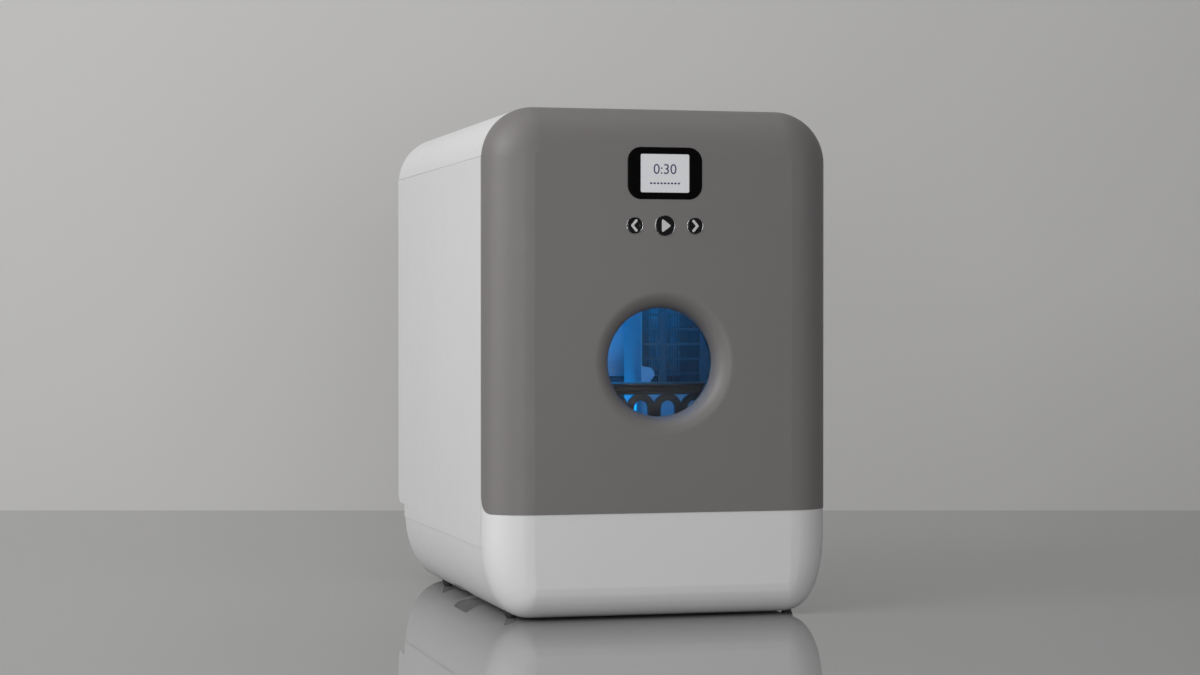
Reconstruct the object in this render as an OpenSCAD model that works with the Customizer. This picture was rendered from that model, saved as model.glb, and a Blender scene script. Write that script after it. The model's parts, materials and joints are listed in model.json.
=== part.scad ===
// Countertop dishwasher with a side-hung front door, a round window, a pull-out dish basket
// and a built-in water tank. The front faces -Y, +Z is up and the origin lies on the floor
// under the middle of the machine. All sizes are in millimetres.

/* [Casing] */
// Width of the casing
body_w = 340; // [283:1:408]
// Depth of the casing, from the door's face to the rear cover
body_d = 484; // [450:1:581]
// Height of the casing, from its underside to its top
body_h = 483; // [440:1:580]
// Thickness of the plastic casing panels
wall = 3; // [2.5:0.1:3.6]
// Width of the seams between casing panels
seam = 0.4; // [0.3:0.05:0.6]
// Radius of the top corners, seen from the front
top_r = 50; // [42:1:60]
// Rounding of the front edges, measured sideways
front_rx = 43; // [34:1:52]
// Rounding of the front edges, measured front to back
front_ry = 38; // [30:1:38]
// Height of the base under the door
base_h = 99; // [92:1:112]
// Height of the top cover above its seam
cover_h = 47; // [43:1:56]
// How far the base stands in from the rear cover
step_d = 30; // [24:1:40]
// Height of the overhang's underside above the casing's underside
step_h = 80; // [72:1:88]
// How far the base stands in from the door's outline
base_in = 0.6; // [0.2:0.1:1.5]
// Width of the base's bottom corners, seen from the front
base_rx = 46; // [38:1:55]
// Height of the base's bottom corners, seen from the front
base_rz = 80; // [72:1:90]

/* [Door] */
// Thickness of the door
door_d = 38.5; // [38.5:0.5:46]
// Distance from the hinge axis to the door's side and to its back
hinge_in = 8; // [7:0.5:9]
// Radius of the hinge pins
pin_r = 2.5; // [2:0.1:2.8]
// Radial running clearance of pins and shafts
run_gap = 0.05; // [0.02:0.01:0.1]
// Rounding of the door's lower rear corner on its opening side
heel_r = 24; // [18:1:28]

/* [Window] */
// Height of the window's centre above the floor
window_z = 243; // [235:0.5:255]
// Radius of the clear window
window_r = 52; // [44:1:58]
// Width of the soft rim around the window
dish_lip = 16; // [12:1:19]
// Depth of the window's dish
dish_d = 20; // [16:1:22]
// Thickness of the window pane
lens_t = 3.5; // [2.5:0.5:4]

/* [Controls] */
// Height of the display's centre above the floor
display_z = 422; // [418:0.5:428]
// Width of the display's black bezel
bezel_w = 73; // [64:1:84]
// Height of the display's black bezel
bezel_h = 49; // [42:1:52]
// Width of the lit screen
screen_w = 47.6; // [40:0.2:56]
// Height of the lit screen
screen_h = 36.2; // [30:0.2:40]
// Height of the buttons' centres above the floor
button_z = 372.5; // [368:0.5:378]
// Distance between neighbouring buttons
button_pitch = 29.6; // [26:0.2:34]
// Outer radius of the side buttons' rims
side_rim_r = 8.1; // [7:0.1:9.5]
// Outer radius of the start button's rim
start_rim_r = 10; // [9:0.1:12]
// Travel of the buttons
button_travel = 1.5; // [1:0.1:2]

/* [Tub and basket] */
// Space between the casing's side and the tub
side_gap = 29; // [28:1:34]
// Space between the tub and the back of the casing
rear_space = 124; // [118:1:140]
// Wall thickness of the tub
tub_wall = 2.5; // [2:0.1:3]
// Space between the basket and the tub's side walls
basket_side = 8.5; // [7:0.5:12]
// Space between the tub's mouth and the basket's front
basket_front = 20; // [18:1:30]
// Radius of the basket's front corners, seen from above
basket_corner = 45; // [42:1:50]
// Height of the basket's top rim
rim_h = 12; // [10:1:16]
// Thickness of the basket's strips
strip = 7; // [5:0.5:8]
// Distance between the arches of the basket's sides
arch_pitch = 27; // [24:1:32]
// Length of the spray arm
arm_l = 214; // [160:2:220]

/* [Water parts] */
// Width of the water tank
tank_w = 205; // [160:5:210]
// Height of the water tank
tank_h = 185; // [150:5:200]
// Width of the filler lid
lid_w = 90; // [70:2:100]
// Depth of the filler lid
lid_d = 66; // [56:2:72]
// Outer radius of the sump
sump_r = 45; // [40:1:48]
// Radius of the filter cup
cup_r = 24.7; // [20:0.5:28]
// Outer radius of the water inlet's thread
inlet_r = 13.2; // [10:0.1:14]
// Outer radius of the drain spigot
drain_r = 9.5; // [8:0.1:11]
// Length that each hose connection stands out of the base
port_l = 16; // [12:1:20]

/* [Hidden] */
$fn = 64;
steps = 12;
reach = 1000;

hw = body_w / 2;
foot_gap = 2;
proud = 0.5;
under_z = foot_gap;
top_z = under_z + body_h;
front_y = proud - (body_d + proud) / 2;
rear_y = front_y + body_d;
seam_y = front_y + door_d;
door_back = seam_y - seam / 2;
cab_front = seam_y + seam / 2;
door_z = under_z + base_h;
lid_z = top_z - cover_h;
step_z = under_z + step_h;
side_z = step_z - 14;
base_rear_y = rear_y - step_d;
rear_r = 4;
overhang_r = 20;
base_plan_r = 12;
base_front_r = 29;
base_rear_r = 24;
base_soft = 2.4;
wrap = 18;

// Tub and its mouth
tub_hw = hw - side_gap;
tub_y0 = cab_front + 7;
tub_y1 = rear_y - rear_space;
tub_z0 = door_z + 8.5;
tub_z1 = lid_z - 4;
tub_corner = 20;
tub_in = tub_hw - tub_wall;
floor_z = tub_z0 + tub_wall;
ceil_z = tub_z1 - tub_wall;
frame_t = 4;
mouth_hw = tub_in - 2.5;
mouth_z0 = floor_z + 2.5;
mouth_z1 = ceil_z - 2.5;
mouth_r = 15;
seal_w = 7;

// Hinge
pivot = [hw - hinge_in, door_back - hinge_in];
edge_r = hinge_in - 0.1;
hinge_z = [door_z + 52, lid_z - 32];
hinge_arm_t = 6;
arm_far = hinge_in + 8;
arm_near = hinge_in + 2;
knuckle_h = 18;
knuckle_gap = 1;
knuckle_w = 7;
bush_r = pin_r + 1.5;
eye_r = pin_r + 3;
catch_z = (door_z + lid_z) / 2 + 30;
catch_x = -hw + 15;

// Basket
basket_hw = tub_in - basket_side;
basket_y0 = tub_y0 + basket_front;
basket_y1 = tub_y1 - tub_wall - 23;
basket_z0 = floor_z + 18;
rack_z = basket_z0 + 2;
rim_z1 = window_z - 20;
rim_z0 = rim_z1 - rim_h;
rear_corner = 20;

// Water parts under the tub
hub = [0, (tub_y0 + tub_y1) / 2 - 1];
arm_z0 = floor_z + 7;
arm_t = 8;
arm_r = 11;
sump_xy = [tub_in - tub_corner + tub_wall - sump_r - 1, tub_y1 - 63];
sump_z0 = tub_z0 - 54;
pump_z = tub_z0 - 40;
pump_r = 32;
pump_x = 9;
pump_w = 30;
motor_l = 66;
riser_x = pump_x - pump_w / 2;
riser_z = pump_z + 20;
heater_y = [hub.y + 13, sump_xy.y - pump_r - 8];
drain_z = tub_z0 - 48;
drain_y = sump_xy.y + 67;
drain_r_out = 20;
port_z = drain_z;
port_x = 122;
inlet_x = -110;

// Tank, fan and lid
tank_x0 = -tub_hw + 3;
tank_x1 = tank_x0 + tank_w - 3;
tank_y0 = tub_y1 + 4;
tank_y1 = rear_y - wall - 5;
tank_z1 = lid_z - 8;
tank_z0 = tank_z1 - tank_h;
tank_wall = 2.5;
lid_x = tank_x0 + 100;
lid_barrel = 3.9;
lid_axis = [rear_y - 24, top_z - 4];
lid_y0 = lid_axis.x - lid_d;
neck_in = 5;
float_xy = [tank_x0 + 26, (tank_y0 + tank_y1) / 2];
fan_c = [hw - 58, tub_y1 + 14, lid_z - 63];
fan_r = 34;

// Colours of the finishes
white = "#c9c8c9";
grey = "#6b6865";
dark = "#2c3034";
steel = "#b8bcc0";
black = "#101114";

// Quarter of an ellipse, or of a fuller curve where soft is above 2
function quarter(c, r, from, soft = 2) = [for (i = [0:steps])
    let (a = from + 90 * i / steps, u = cos(a), v = sin(a))
        [c.x + r.x * sign(u) * pow(abs(u), 2 / soft), c.y + r.y * sign(v) * pow(abs(v), 2 / soft)]];

// Rectangle between two corners, with its own corner sizes: lower pair, then upper pair
function outline(lo, hi, low_r, high_r, soft = 2) = concat(
    quarter([lo.x + low_r.x, lo.y + low_r.y], low_r, 180, soft),
    quarter([hi.x - low_r.x, lo.y + low_r.y], low_r, 270, soft),
    quarter([hi.x - high_r.x, hi.y - high_r.y], high_r, 0),
    quarter([lo.x + high_r.x, hi.y - high_r.y], high_r, 90));

function plain(r) = [r, r];

module along_x(x0, x1, points) translate([x0, 0, 0]) rotate([90, 0, 90])
    linear_extrude(x1 - x0) polygon(points);
module along_y(y0, y1, points) translate([0, y1, 0]) rotate([90, 0, 0])
    linear_extrude(y1 - y0) polygon(points);
module along_z(z0, z1, points) translate([0, 0, z0]) linear_extrude(z1 - z0) polygon(points);
module box(lo, hi) translate(lo) cube(hi - lo);
module rod_x(x0, x1, y, z, r) translate([x0, y, z]) rotate([0, 90, 0]) cylinder(h = x1 - x0, r = r);
module rod_y(x, y0, y1, z, r) translate([x, y0, z]) rotate([-90, 0, 0]) cylinder(h = y1 - y0, r = r);
module rod_z(x, y, z0, z1, r) translate([x, y, z0]) cylinder(h = z1 - z0, r = r);

// L-shaped round bar from a over corner b to c, all square to the axes
module elbow_bar(a, b, c, bend, r) {
    u = (a - b) / norm(a - b);
    v = (c - b) / norm(c - b);
    w = cross(u, v);
    multmatrix([[u.x, v.x, w.x, b.x], [u.y, v.y, w.y, b.y], [u.z, v.z, w.z, b.z], [0, 0, 0, 1]]) {
        rod_x(bend, norm(a - b), 0, 0, r);
        rod_y(0, bend, norm(c - b), 0, r);
        translate([bend, bend, 0]) rotate([0, 0, 180]) rotate_extrude(angle = 90)
            translate([bend, 0]) circle(r);
    }
}

// L-shaped tube, open at both ends
module elbow_tube(a, b, c, bend, r, bore) difference() {
    elbow_bar(a, b, c, bend, r);
    elbow_bar(a + (a - b) / norm(a - b), b, c + (c - b) / norm(c - b), bend, bore);
}

// Outer form of the machine, set in by t. Above the base it is crossed from three views
module upper_form(t) intersection() {
    along_y(-reach, reach, outline([-hw + t, step_z - 60], [hw - t, top_z - t], plain(1),
        plain(top_r - t)));
    along_z(-reach, reach, outline([-hw + t, front_y + t], [hw - t, rear_y - t],
        [front_rx - t, front_ry - t], plain(rear_r - t)));
    along_x(-reach, reach, concat([[front_y + t, step_z - 50], [base_rear_y, step_z - 50],
        [base_rear_y, step_z + t]],
        quarter([rear_y - overhang_r, step_z + overhang_r], plain(overhang_r - t), 270),
        quarter([rear_y - rear_r, top_z - rear_r], plain(rear_r - t), 0),
        quarter([front_y + front_ry, top_z - front_rx], [front_ry - t, front_rx - t], 90)));
}

// The base's form, which narrows towards its soft bottom corners
module base_form(t, set_in = base_in) intersection() {
    along_y(-reach, reach, outline([-hw + set_in + t, under_z + t], [hw - set_in - t, reach],
        [base_rx - t, base_rz - t], plain(1), base_soft));
    along_z(-reach, reach, outline([-hw + set_in + t, front_y + set_in + t],
        [hw - set_in - t, base_rear_y - t], [front_rx - t, front_ry - t],
        plain(base_plan_r - t)));
    along_x(-reach, reach, concat(
        quarter([front_y + set_in + base_front_r, under_z + base_front_r],
            plain(base_front_r - t), 180),
        quarter([base_rear_y - base_rear_r, under_z + base_rear_r], plain(base_rear_r - t), 270),
        [[base_rear_y - t, reach], [front_y + set_in + t, reach]]));
}

// Side panel behind the door: side is -1 for the left one and 1 for the right one
module side_panel(side) {
    lo_x = side < 0 ? -hw - 1 : hw - wrap;
    module slice(z0, z1) box([lo_x, cab_front, z0], [lo_x + wrap + 1, rear_y + 1, z1]);
    color(white) difference() {
        union() {
            difference() {
                intersection() {
                    upper_form(0);
                    slice(step_z, lid_z - seam / 2);
                }
                upper_form(wall);
            }
            difference() {
                intersection() {
                    base_form(0, 0);
                    slice(side_z + seam / 2, step_z + 0.01);
                }
                base_form(wall, 0);
            }
            // Flange that the rear cover is screwed to
            box([side < 0 ? -hw + wall - 0.5 : hw - wrap - 12, rear_y - wall - 3.1, step_z + 30],
                [side < 0 ? -hw + wrap + 12 : hw - wall + 0.5, rear_y - wall - 0.1, lid_z - 12]);
        }
        for (z = screw_z) rod_y(side * cover_screw_x, rear_y - 20, rear_y + 1, z, 1.6);
    }
}
cover_screw_x = hw - wrap - 6;
screw_z = [step_z + 42, (step_z + lid_z) / 2, lid_z - 24];

module side_panel_left() side_panel(-1);
module side_panel_right() side_panel(1);

module top_cover() color(white) difference() {
    union() {
        difference() {
            intersection() {
                upper_form(0);
                box([-hw - 1, cab_front, lid_z + seam / 2], [hw + 1, rear_y + 1, top_z + 1]);
            }
            upper_form(wall);
        }
        // Bosses that hold the filler lid's pins
        for (x = [lid_x - lid_w / 2 - 8.5, lid_x + lid_w / 2 + 0.5])
            box([x, lid_axis.x - 6, top_z - 10], [x + 8, lid_axis.x + 6, top_z - wall + 0.5]);
    }
    box([lid_x - lid_w / 2 - 0.5, lid_y0 - 0.5, top_z - 30],
        [lid_x + lid_w / 2 + 0.5, lid_axis.x + lid_barrel + 0.4, top_z + 1]);
    rod_x(lid_x - lid_w / 2 - 7, lid_x + lid_w / 2 + 7, lid_axis.x, lid_axis.y, lid_pin_r + run_gap);
    // Scoop for a fingertip at the lid's front edge
    translate([lid_x, lid_y0, top_z + 6]) sphere(r = 12);
}
lid_pin_r = 2;

module rear_cover() color(white) difference() {
    union() {
        difference() {
            intersection() {
                upper_form(0);
                box([-hw + wrap + seam, base_rear_y + 0.2, step_z],
                    [hw - wrap - seam, rear_y + 1, lid_z - seam / 2]);
            }
            upper_form(wall);
        }
        // Posts for the power board
        for (x = board_x, z = board_z) rod_y(x, board_y + 1.6, rear_y - wall + 0.5, z, 3.5);
    }
    // Air outlet behind the fan
    for (i = [-5:5]) box([fan_c.x - 30, rear_y - wall - 1, fan_c.z + i * 6 - 1.5],
        [fan_c.x + 24, rear_y + 1, fan_c.z + i * 6 + 1.5]);
    for (side = [-1, 1], z = screw_z) {
        rod_y(side * cover_screw_x, rear_y - 20, rear_y + 1, z, 1.8);
        rod_y(side * cover_screw_x, rear_y - 1.5, rear_y + 1, z, 4);
    }
}
board_x = [hw - 92, hw - 34];
board_z = [tank_z0 - 4, tank_z0 + 46];
board_y = rear_y - wall - 12;

// Pocket under each side that fingers reach into to lift the machine
grip_hy = 36;
grip_x0 = hw - 62;
grip_x1 = hw - 20;
grip_z = 27;
grip_c = -5;

foot_r = 7;
foot_x = hw - 32;
foot_y = [cab_front + foot_r + 5, base_rear_y - 96];

module base_tray() color(white) difference() {
    union() {
        difference() {
            intersection() {
                base_form(0);
                union() {
                    box([-hw, cab_front, under_z - 1], [hw, base_rear_y + 1, side_z - seam / 2]);
                    box([-hw + wrap + seam, base_rear_y - 40, under_z],
                        [hw - wrap - seam, base_rear_y + 1, step_z - seam / 2]);
                }
            }
            base_form(wall);
        }
        // Grip pockets, foot bosses and the pump saddles
        intersection() {
            base_form(1);
            union() {
                for (side = [-1, 1]) box(
                    [side < 0 ? -grip_x1 - wall : grip_x0 - wall, grip_c - grip_hy - wall, under_z],
                    [side < 0 ? -grip_x0 + wall : grip_x1 + wall, grip_c + grip_hy + wall,
                    grip_z + wall]);
                for (side = [-1, 1], y = foot_y) rod_z(side * foot_x, y, under_z, 16, foot_r + 4);
                for (x = [pump_x - 80, pump_x - 24])
                    box([x, sump_xy.y - 12, under_z + 1], [x + 18, sump_xy.y + 12, pump_z - 20]);
                box([sump_xy.x - 10, drain_y + 24, under_z + 1],
                    [sump_xy.x + 10, drain_y + 44, drain_z - 10]);
            }
        }
    }
    for (side = [-1, 1]) box([side < 0 ? -grip_x1 : grip_x0, grip_c - grip_hy, -1],
        [side < 0 ? -grip_x0 : grip_x1, grip_c + grip_hy, grip_z]);
    for (side = [-1, 1], y = foot_y) rod_z(side * foot_x, y, -1, 12, foot_r + 0.1);
    rod_x(pump_x - pump_w - motor_l - 4, pump_x + 1, sump_xy.y, pump_z, 28.3);
    rod_x(pump_x - pump_w - 1, pump_x + 1, sump_xy.y, pump_z, pump_r + 0.3);
    rod_y(sump_xy.x, drain_y + 20, drain_y + 70, drain_z, 18.3);
    // Openings for the hose connections and the mains inlet
    rod_y(port_x, base_rear_y - 10, base_rear_y + 1, port_z, drain_r + 0.3);
    rod_y(inlet_x, base_rear_y - 10, base_rear_y + 1, port_z, inlet_r + 0.3);
    box([-14.3, base_rear_y - 10, port_z - 10.3], [14.3, base_rear_y + 1, port_z + 10.3]);
}

horn_x = -hw + 20;

module front_fascia() color(white) {
    difference() {
        intersection() {
            base_form(0);
            box([-hw, front_y, under_z - 1], [hw, door_back, door_z - seam / 2]);
        }
        difference() {
            base_form(wall);
            box([-hw, front_y, door_z - seam / 2 - wall], [hw, door_back + 1, door_z + 20]);
        }
    }
    // Corner piece that fills the rounding of the door's heel
    intersection() {
        upper_form(base_in);
        difference() {
            box([-hw, door_back - heel_r, door_z - seam / 2 - 1], [horn_x, door_back, door_z + heel_r]);
            rod_x(-hw - 1, horn_x + 1, door_back - heel_r, door_z + seam / 2 + heel_r, heel_r + seam);
        }
    }
}

module front_frame() color(white) difference() {
    along_y(tub_y0 - frame_t, tub_y0, outline([-hw + wall + 0.3, step_z + 6],
        [hw - wall - 0.3, top_z - wall - 0.3], plain(1), plain(top_r - wall - 0.3)));
    along_y(tub_y0 - frame_t - 1, tub_y0 + 1, outline([-mouth_hw, mouth_z0],
        [mouth_hw, mouth_z1], plain(mouth_r), plain(mouth_r)));
    for (z = hinge_z) box([hw - arm_far - 1, tub_y0 - frame_t - 1, z - hinge_arm_t / 2 - 1],
        [hw - arm_near + 1, tub_y0 + 1, z + hinge_arm_t / 2 + 1]);
}

// Hollow of the tub between two depths
module tub_space(y0, y1) along_y(y0, y1, outline([-tub_in, floor_z], [tub_in, ceil_z],
    plain(tub_corner - tub_wall), plain(tub_corner - tub_wall)));

module tub() color(steel) difference() {
    union() {
        along_y(tub_y0, tub_y1, outline([-tub_hw, tub_z0], [tub_hw, tub_z1],
            plain(tub_corner), plain(tub_corner)));
        // Shelf that carries the water tank
        box([tank_x0, tub_y1 - 1, tank_z0 - 4], [tank_x1, tank_y1, tank_z0 - 0.3]);
        for (x = [tank_x0, tank_x1 - 4]) along_x(x, x + 4, [[tub_y1 - 1, tank_z0 - 2],
            [tub_y1 - 1, tank_z0 - 70], [tub_y1 + 6, tank_z0 - 70], [tank_y1 - 8, tank_z0 - 2]]);
    }
    tub_space(tub_y0 - 1, tub_y1 - tub_wall);
    rod_z(sump_xy.x, sump_xy.y, tub_z0 - 1, floor_z + 1, sump_r - 2);
    rod_z(hub.x, hub.y, tub_z0 - 1, floor_z + 1, 10);
    rod_y(fan_c.x, tub_y1 - 5, tub_y1 + 1, fan_c.z, 25);
    rod_z(tank_port.x, tank_port.y, tank_z0 - 10, tank_z0 + 1, 9);
    rod_z(supply_xy.x, supply_xy.y, tank_z0 - 10, tank_z0 + 1, 9);
}
tank_port = [45, tank_y0 + 18];
supply_xy = [inlet_x, base_rear_y - 44];

module tub_gasket() color(black) difference() {
    along_y(door_back + 0.3, tub_y0 - frame_t, outline([-mouth_hw - seal_w - 1, mouth_z0 - seal_w - 1],
        [mouth_hw + seal_w + 1, mouth_z1 + seal_w + 1], plain(mouth_r + seal_w),
        plain(mouth_r + seal_w)));
    along_y(door_back, tub_y0, outline([-mouth_hw - 1, mouth_z0 - 1],
        [mouth_hw + 1, mouth_z1 + 1], plain(mouth_r), plain(mouth_r)));
}

// Two ledges on the tub's side walls that the basket slides on
module basket_rails() color(steel) intersection() {
    tub_space(tub_y0 + 6, tub_y1 - tub_wall);
    for (side = [-1, 1]) box([side < 0 ? -tub_in : basket_hw - strip - 1, tub_y0, basket_z0 - 4.3],
        [side < 0 ? -basket_hw + strip + 1 : tub_in, tub_y1, basket_z0 - 0.3]);
}

module sump() color(dark) difference() {
    union() {
        rod_z(sump_xy.x, sump_xy.y, sump_z0, tub_z0, sump_r);
        rod_z(sump_xy.x, sump_xy.y, tub_z0 - 3, tub_z0, sump_r + 7);
        rod_x(sump_xy.x - sump_r - 10, sump_xy.x - sump_r + 5, sump_xy.y, pump_z, 9);
        rod_y(sump_xy.x, sump_xy.y + sump_r - 5, sump_xy.y + sump_r + 10, drain_z, 8);
        rod_y(tank_port.x, sump_xy.y + sump_r - 16, sump_xy.y + sump_r + 4, sump_tap_z, 6);
    }
    rod_z(sump_xy.x, sump_xy.y, sump_z0 + wall, tub_z0 + 1, sump_r - wall);
    rod_x(sump_xy.x - sump_r - 11, sump_xy.x - sump_r + 6, sump_xy.y, pump_z, 7);
    rod_y(sump_xy.x, sump_xy.y + sump_r - 6, sump_xy.y + sump_r + 11, drain_z, 6);
    rod_y(tank_port.x, sump_xy.y + sump_r - 17, sump_xy.y + sump_r + 5, sump_tap_z, 4);
}
sump_tap_z = tub_z0 - 18;

module filter_plate() color(steel) difference() {
    rod_z(sump_xy.x, sump_xy.y, floor_z, floor_z + 2, sump_r + 1);
    rod_z(sump_xy.x, sump_xy.y, floor_z - 1, floor_z + 3, cup_r + 0.6);
    for (i = [0:15]) rotate_about(sump_xy, i * 22.5)
        rod_z(sump_xy.x + (cup_r + sump_r) / 2 + 1, sump_xy.y, floor_z - 1, floor_z + 3, 3);
}
module rotate_about(c, a) translate([c.x, c.y, 0]) rotate([0, 0, a]) translate([-c.x, -c.y, 0]) children();

module filter_cup() color(dark) difference() {
    union() {
        rod_z(sump_xy.x, sump_xy.y, floor_z - 34, floor_z + 3, cup_r);
        rod_z(sump_xy.x, sump_xy.y, floor_z + 2.3, floor_z + 4.3, cup_r + 4);
    }
    rod_z(sump_xy.x, sump_xy.y, floor_z - 32, floor_z + 5, cup_r - 2);
    for (i = [0:7]) rotate_about(sump_xy, i * 45)
        box([sump_xy.x, sump_xy.y - 4, floor_z - 28], [sump_xy.x + cup_r + 2, sump_xy.y + 4, floor_z - 4]);
}

module spray_hub() color(dark) {
    difference() {
        union() {
            rod_z(hub.x, hub.y, pump_z + 18, floor_z + 1, 10);
            rod_z(hub.x, hub.y, floor_z, floor_z + 2, 14);
            rod_z(hub.x, hub.y, floor_z + 1, arm_z0 - 0.3, 10);
        }
        rod_z(hub.x, hub.y, pump_z + 17, arm_z0 - 2, 7);
    }
    rod_z(hub.x, hub.y, arm_z0 - 1, arm_z0 + arm_t + 1, 4);
    rod_z(hub.x, hub.y, arm_z0 + arm_t + 0.3, arm_z0 + arm_t + 2.5, 6.5);
}

module spray_arm() color(white) difference() {
    union() {
        box([hub.x - arm_l / 2 + arm_r, hub.y - arm_r, arm_z0],
            [hub.x + arm_l / 2 - arm_r, hub.y + arm_r, arm_z0 + arm_t]);
        for (side = [-1, 1])
            rod_z(hub.x + side * (arm_l / 2 - arm_r), hub.y, arm_z0, arm_z0 + arm_t, arm_r);
        rod_z(hub.x, hub.y, arm_z0, arm_z0 + arm_t, 18);
    }
    rod_z(hub.x, hub.y, arm_z0 - 1, arm_z0 + arm_t + 1, 4 + run_gap);
    for (side = [-1, 1], i = [2:6]) rod_z(hub.x + side * i * arm_l / 14, hub.y + side * 4,
        arm_z0 + 3, arm_z0 + arm_t + 1, 1.5);
}

// Opening of the tank's filler, seen from above
module neck(t, z0, z1) box([lid_x - lid_w / 2 + neck_in - t, lid_y0 + neck_in - t, z0],
    [lid_x + lid_w / 2 - neck_in + t, lid_axis.x - 12 + t, z1]);

module water_tank() color("#dfe6ea") {
    difference() {
        union() {
            box([tank_x0, tank_y0, tank_z0], [tank_x1, tank_y1, tank_z1]);
            neck(0, tank_z1 - 1, top_z - 12);
            rod_z(tank_port.x, tank_port.y, tank_z0 - 14, tank_z0 + 1, 6);
            rod_z(supply_xy.x, supply_xy.y, tank_z0 - 14, tank_z0 + 1, 6);
        }
        box([tank_x0 + tank_wall, tank_y0 + tank_wall, tank_z0 + tank_wall],
            [tank_x1 - tank_wall, tank_y1 - tank_wall, tank_z1 - tank_wall]);
        neck(-tank_wall, tank_z1 - 5, top_z);
        for (p = [tank_port, supply_xy]) rod_z(p.x, p.y, tank_z0 - 15, tank_z0 + 5, 4);
    }
    rod_z(float_xy.x, float_xy.y, tank_z0 + 1, tank_z1 - 1, 3);
}

module level_float() color("#e8a33c") difference() {
    rod_z(float_xy.x, float_xy.y, tank_z0 + tank_wall + 2, tank_z0 + tank_wall + 24, 14);
    rod_z(float_xy.x, float_xy.y, tank_z0, tank_z0 + 60, 3 + run_gap);
}

// Round pump housing about the X axis, with an inlet nozzle on its right
module wash_pump() color(dark) difference() {
    union() {
        rod_x(pump_x - pump_w, pump_x, sump_xy.y, pump_z, pump_r);
        rod_x(pump_x - 1, pump_x + 11, sump_xy.y, pump_z, 9);
        rod_y(riser_x, heater_y[1], sump_xy.y, riser_z, 8);
    }
    rod_x(pump_x - pump_w + wall, pump_x - wall, sump_xy.y, pump_z, pump_r - wall);
    rod_x(pump_x - 5, pump_x + 12, sump_xy.y, pump_z, 7);
    rod_y(riser_x, heater_y[1] - 1, sump_xy.y - 12, riser_z, 6);
    rod_x(pump_x - pump_w - 1, pump_x - pump_w + 5, sump_xy.y, pump_z, 3.5);
}

module wash_motor() color(steel) difference() {
    rod_x(pump_x - pump_w - motor_l, pump_x - pump_w, sump_xy.y, pump_z, 28);
    rod_x(pump_x - pump_w - motor_l + 20, pump_x - pump_w + 1, sump_xy.y, pump_z, 3 + run_gap);
}

// Hub and back plate on a shaft along X, with straight blades, from x0 to x1
module impeller_x(x0, x1, y, z, r, blades) {
    rod_x(x0, x0 + 3, y, z, r);
    rod_x(x0, x1, y, z, r * 0.35);
    for (i = [0:blades - 1]) translate([0, y, z]) rotate([i * 360 / blades, 0, 0])
        box([x0 + 2, -1.2, 0], [x1, 1.2, r - 1]);
}

module wash_impeller() color(white) {
    impeller_x(pump_x - pump_w + wall + 3, pump_x - wall - 4, sump_xy.y, pump_z, pump_r - wall - 3, 6);
    rod_x(pump_x - pump_w - motor_l + 21, pump_x - pump_w + wall + 4, sump_xy.y, pump_z, 3);
}

module drain_pump() color(dark) difference() {
    union() {
        rod_y(sump_xy.x, drain_y, drain_y + 20, drain_z, drain_r_out + 2);
        rod_y(sump_xy.x, drain_y - 8, drain_y + 1, drain_z, 8);
        rod_x(sump_xy.x, sump_xy.x + drain_r_out + 12, drain_y + 10, drain_z, 7);
    }
    rod_y(sump_xy.x, drain_y + 2.5, drain_y + 17.5, drain_z, drain_r_out - 0.5);
    rod_y(sump_xy.x, drain_y - 9, drain_y + 4, drain_z, 6);
    rod_x(sump_xy.x + 5, sump_xy.x + drain_r_out + 13, drain_y + 10, drain_z, 5);
    rod_y(sump_xy.x, drain_y + 16, drain_y + 21, drain_z, 2.5);
}

module drain_motor() color(steel) difference() {
    rod_y(sump_xy.x, drain_y + 20, drain_y + 58, drain_z, 18);
    rod_y(sump_xy.x, drain_y + 19, drain_y + 50, drain_z, 2 + run_gap);
}

module drain_impeller() color(white) {
    translate([sump_xy.x, 0, drain_z]) for (i = [0:3]) rotate([0, i * 90, 0])
        box([0, drain_y + 6, -1], [drain_r_out - 4, drain_y + 15, 1]);
    rod_y(sump_xy.x, drain_y + 6, drain_y + 16, drain_z, 5);
    rod_y(sump_xy.x, drain_y + 15, drain_y + 48, drain_z, 2);
}

module heater() color(steel) difference() {
    union() {
        rod_y(riser_x, heater_y[0] + 4, heater_y[1] - 4, riser_z, 12);
        rod_y(riser_x, heater_y[0], heater_y[1], riser_z, 8);
    }
    rod_y(riser_x, heater_y[0] - 1, heater_y[1] + 1, riser_z, 6);
}

// Pipe from the heater to the spray hub
module riser_pipe() color(dark) difference() {
    union() {
        rod_y(riser_x, hub.y - 13, heater_y[0], riser_z, 8);
        box([riser_x - 8, hub.y - 13, riser_z - 10], [hub.x + 13, hub.y + 13, riser_z - 2]);
    }
    rod_y(riser_x, hub.y - 8, heater_y[0] + 1, riser_z, 6);
    rod_z(hub.x, hub.y, riser_z - 8, riser_z + 20, 10.05);
}

hose_gap = 0.1;
// Short rubber sleeves from the sump to the two pumps
module hose_couplings() color(black) {
    difference() {
        rod_x(pump_x + 2, sump_xy.x - sump_r - 2, sump_xy.y, pump_z, 12);
        rod_x(pump_x + 1, sump_xy.x - sump_r - 1, sump_xy.y, pump_z, 9 + hose_gap);
    }
    difference() {
        rod_y(sump_xy.x, sump_xy.y + sump_r + 2, drain_y - 1, drain_z, 10.5);
        rod_y(sump_xy.x, sump_xy.y + sump_r + 1, drain_y, drain_z, 8 + hose_gap);
    }
}

module drain_hose() color(black) elbow_tube([sump_xy.x + drain_r_out + 5, drain_y + 10, drain_z],
    [port_x, drain_y + 10, drain_z], [port_x, base_rear_y - 18, drain_z], 14, 9, 7 + hose_gap);

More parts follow.
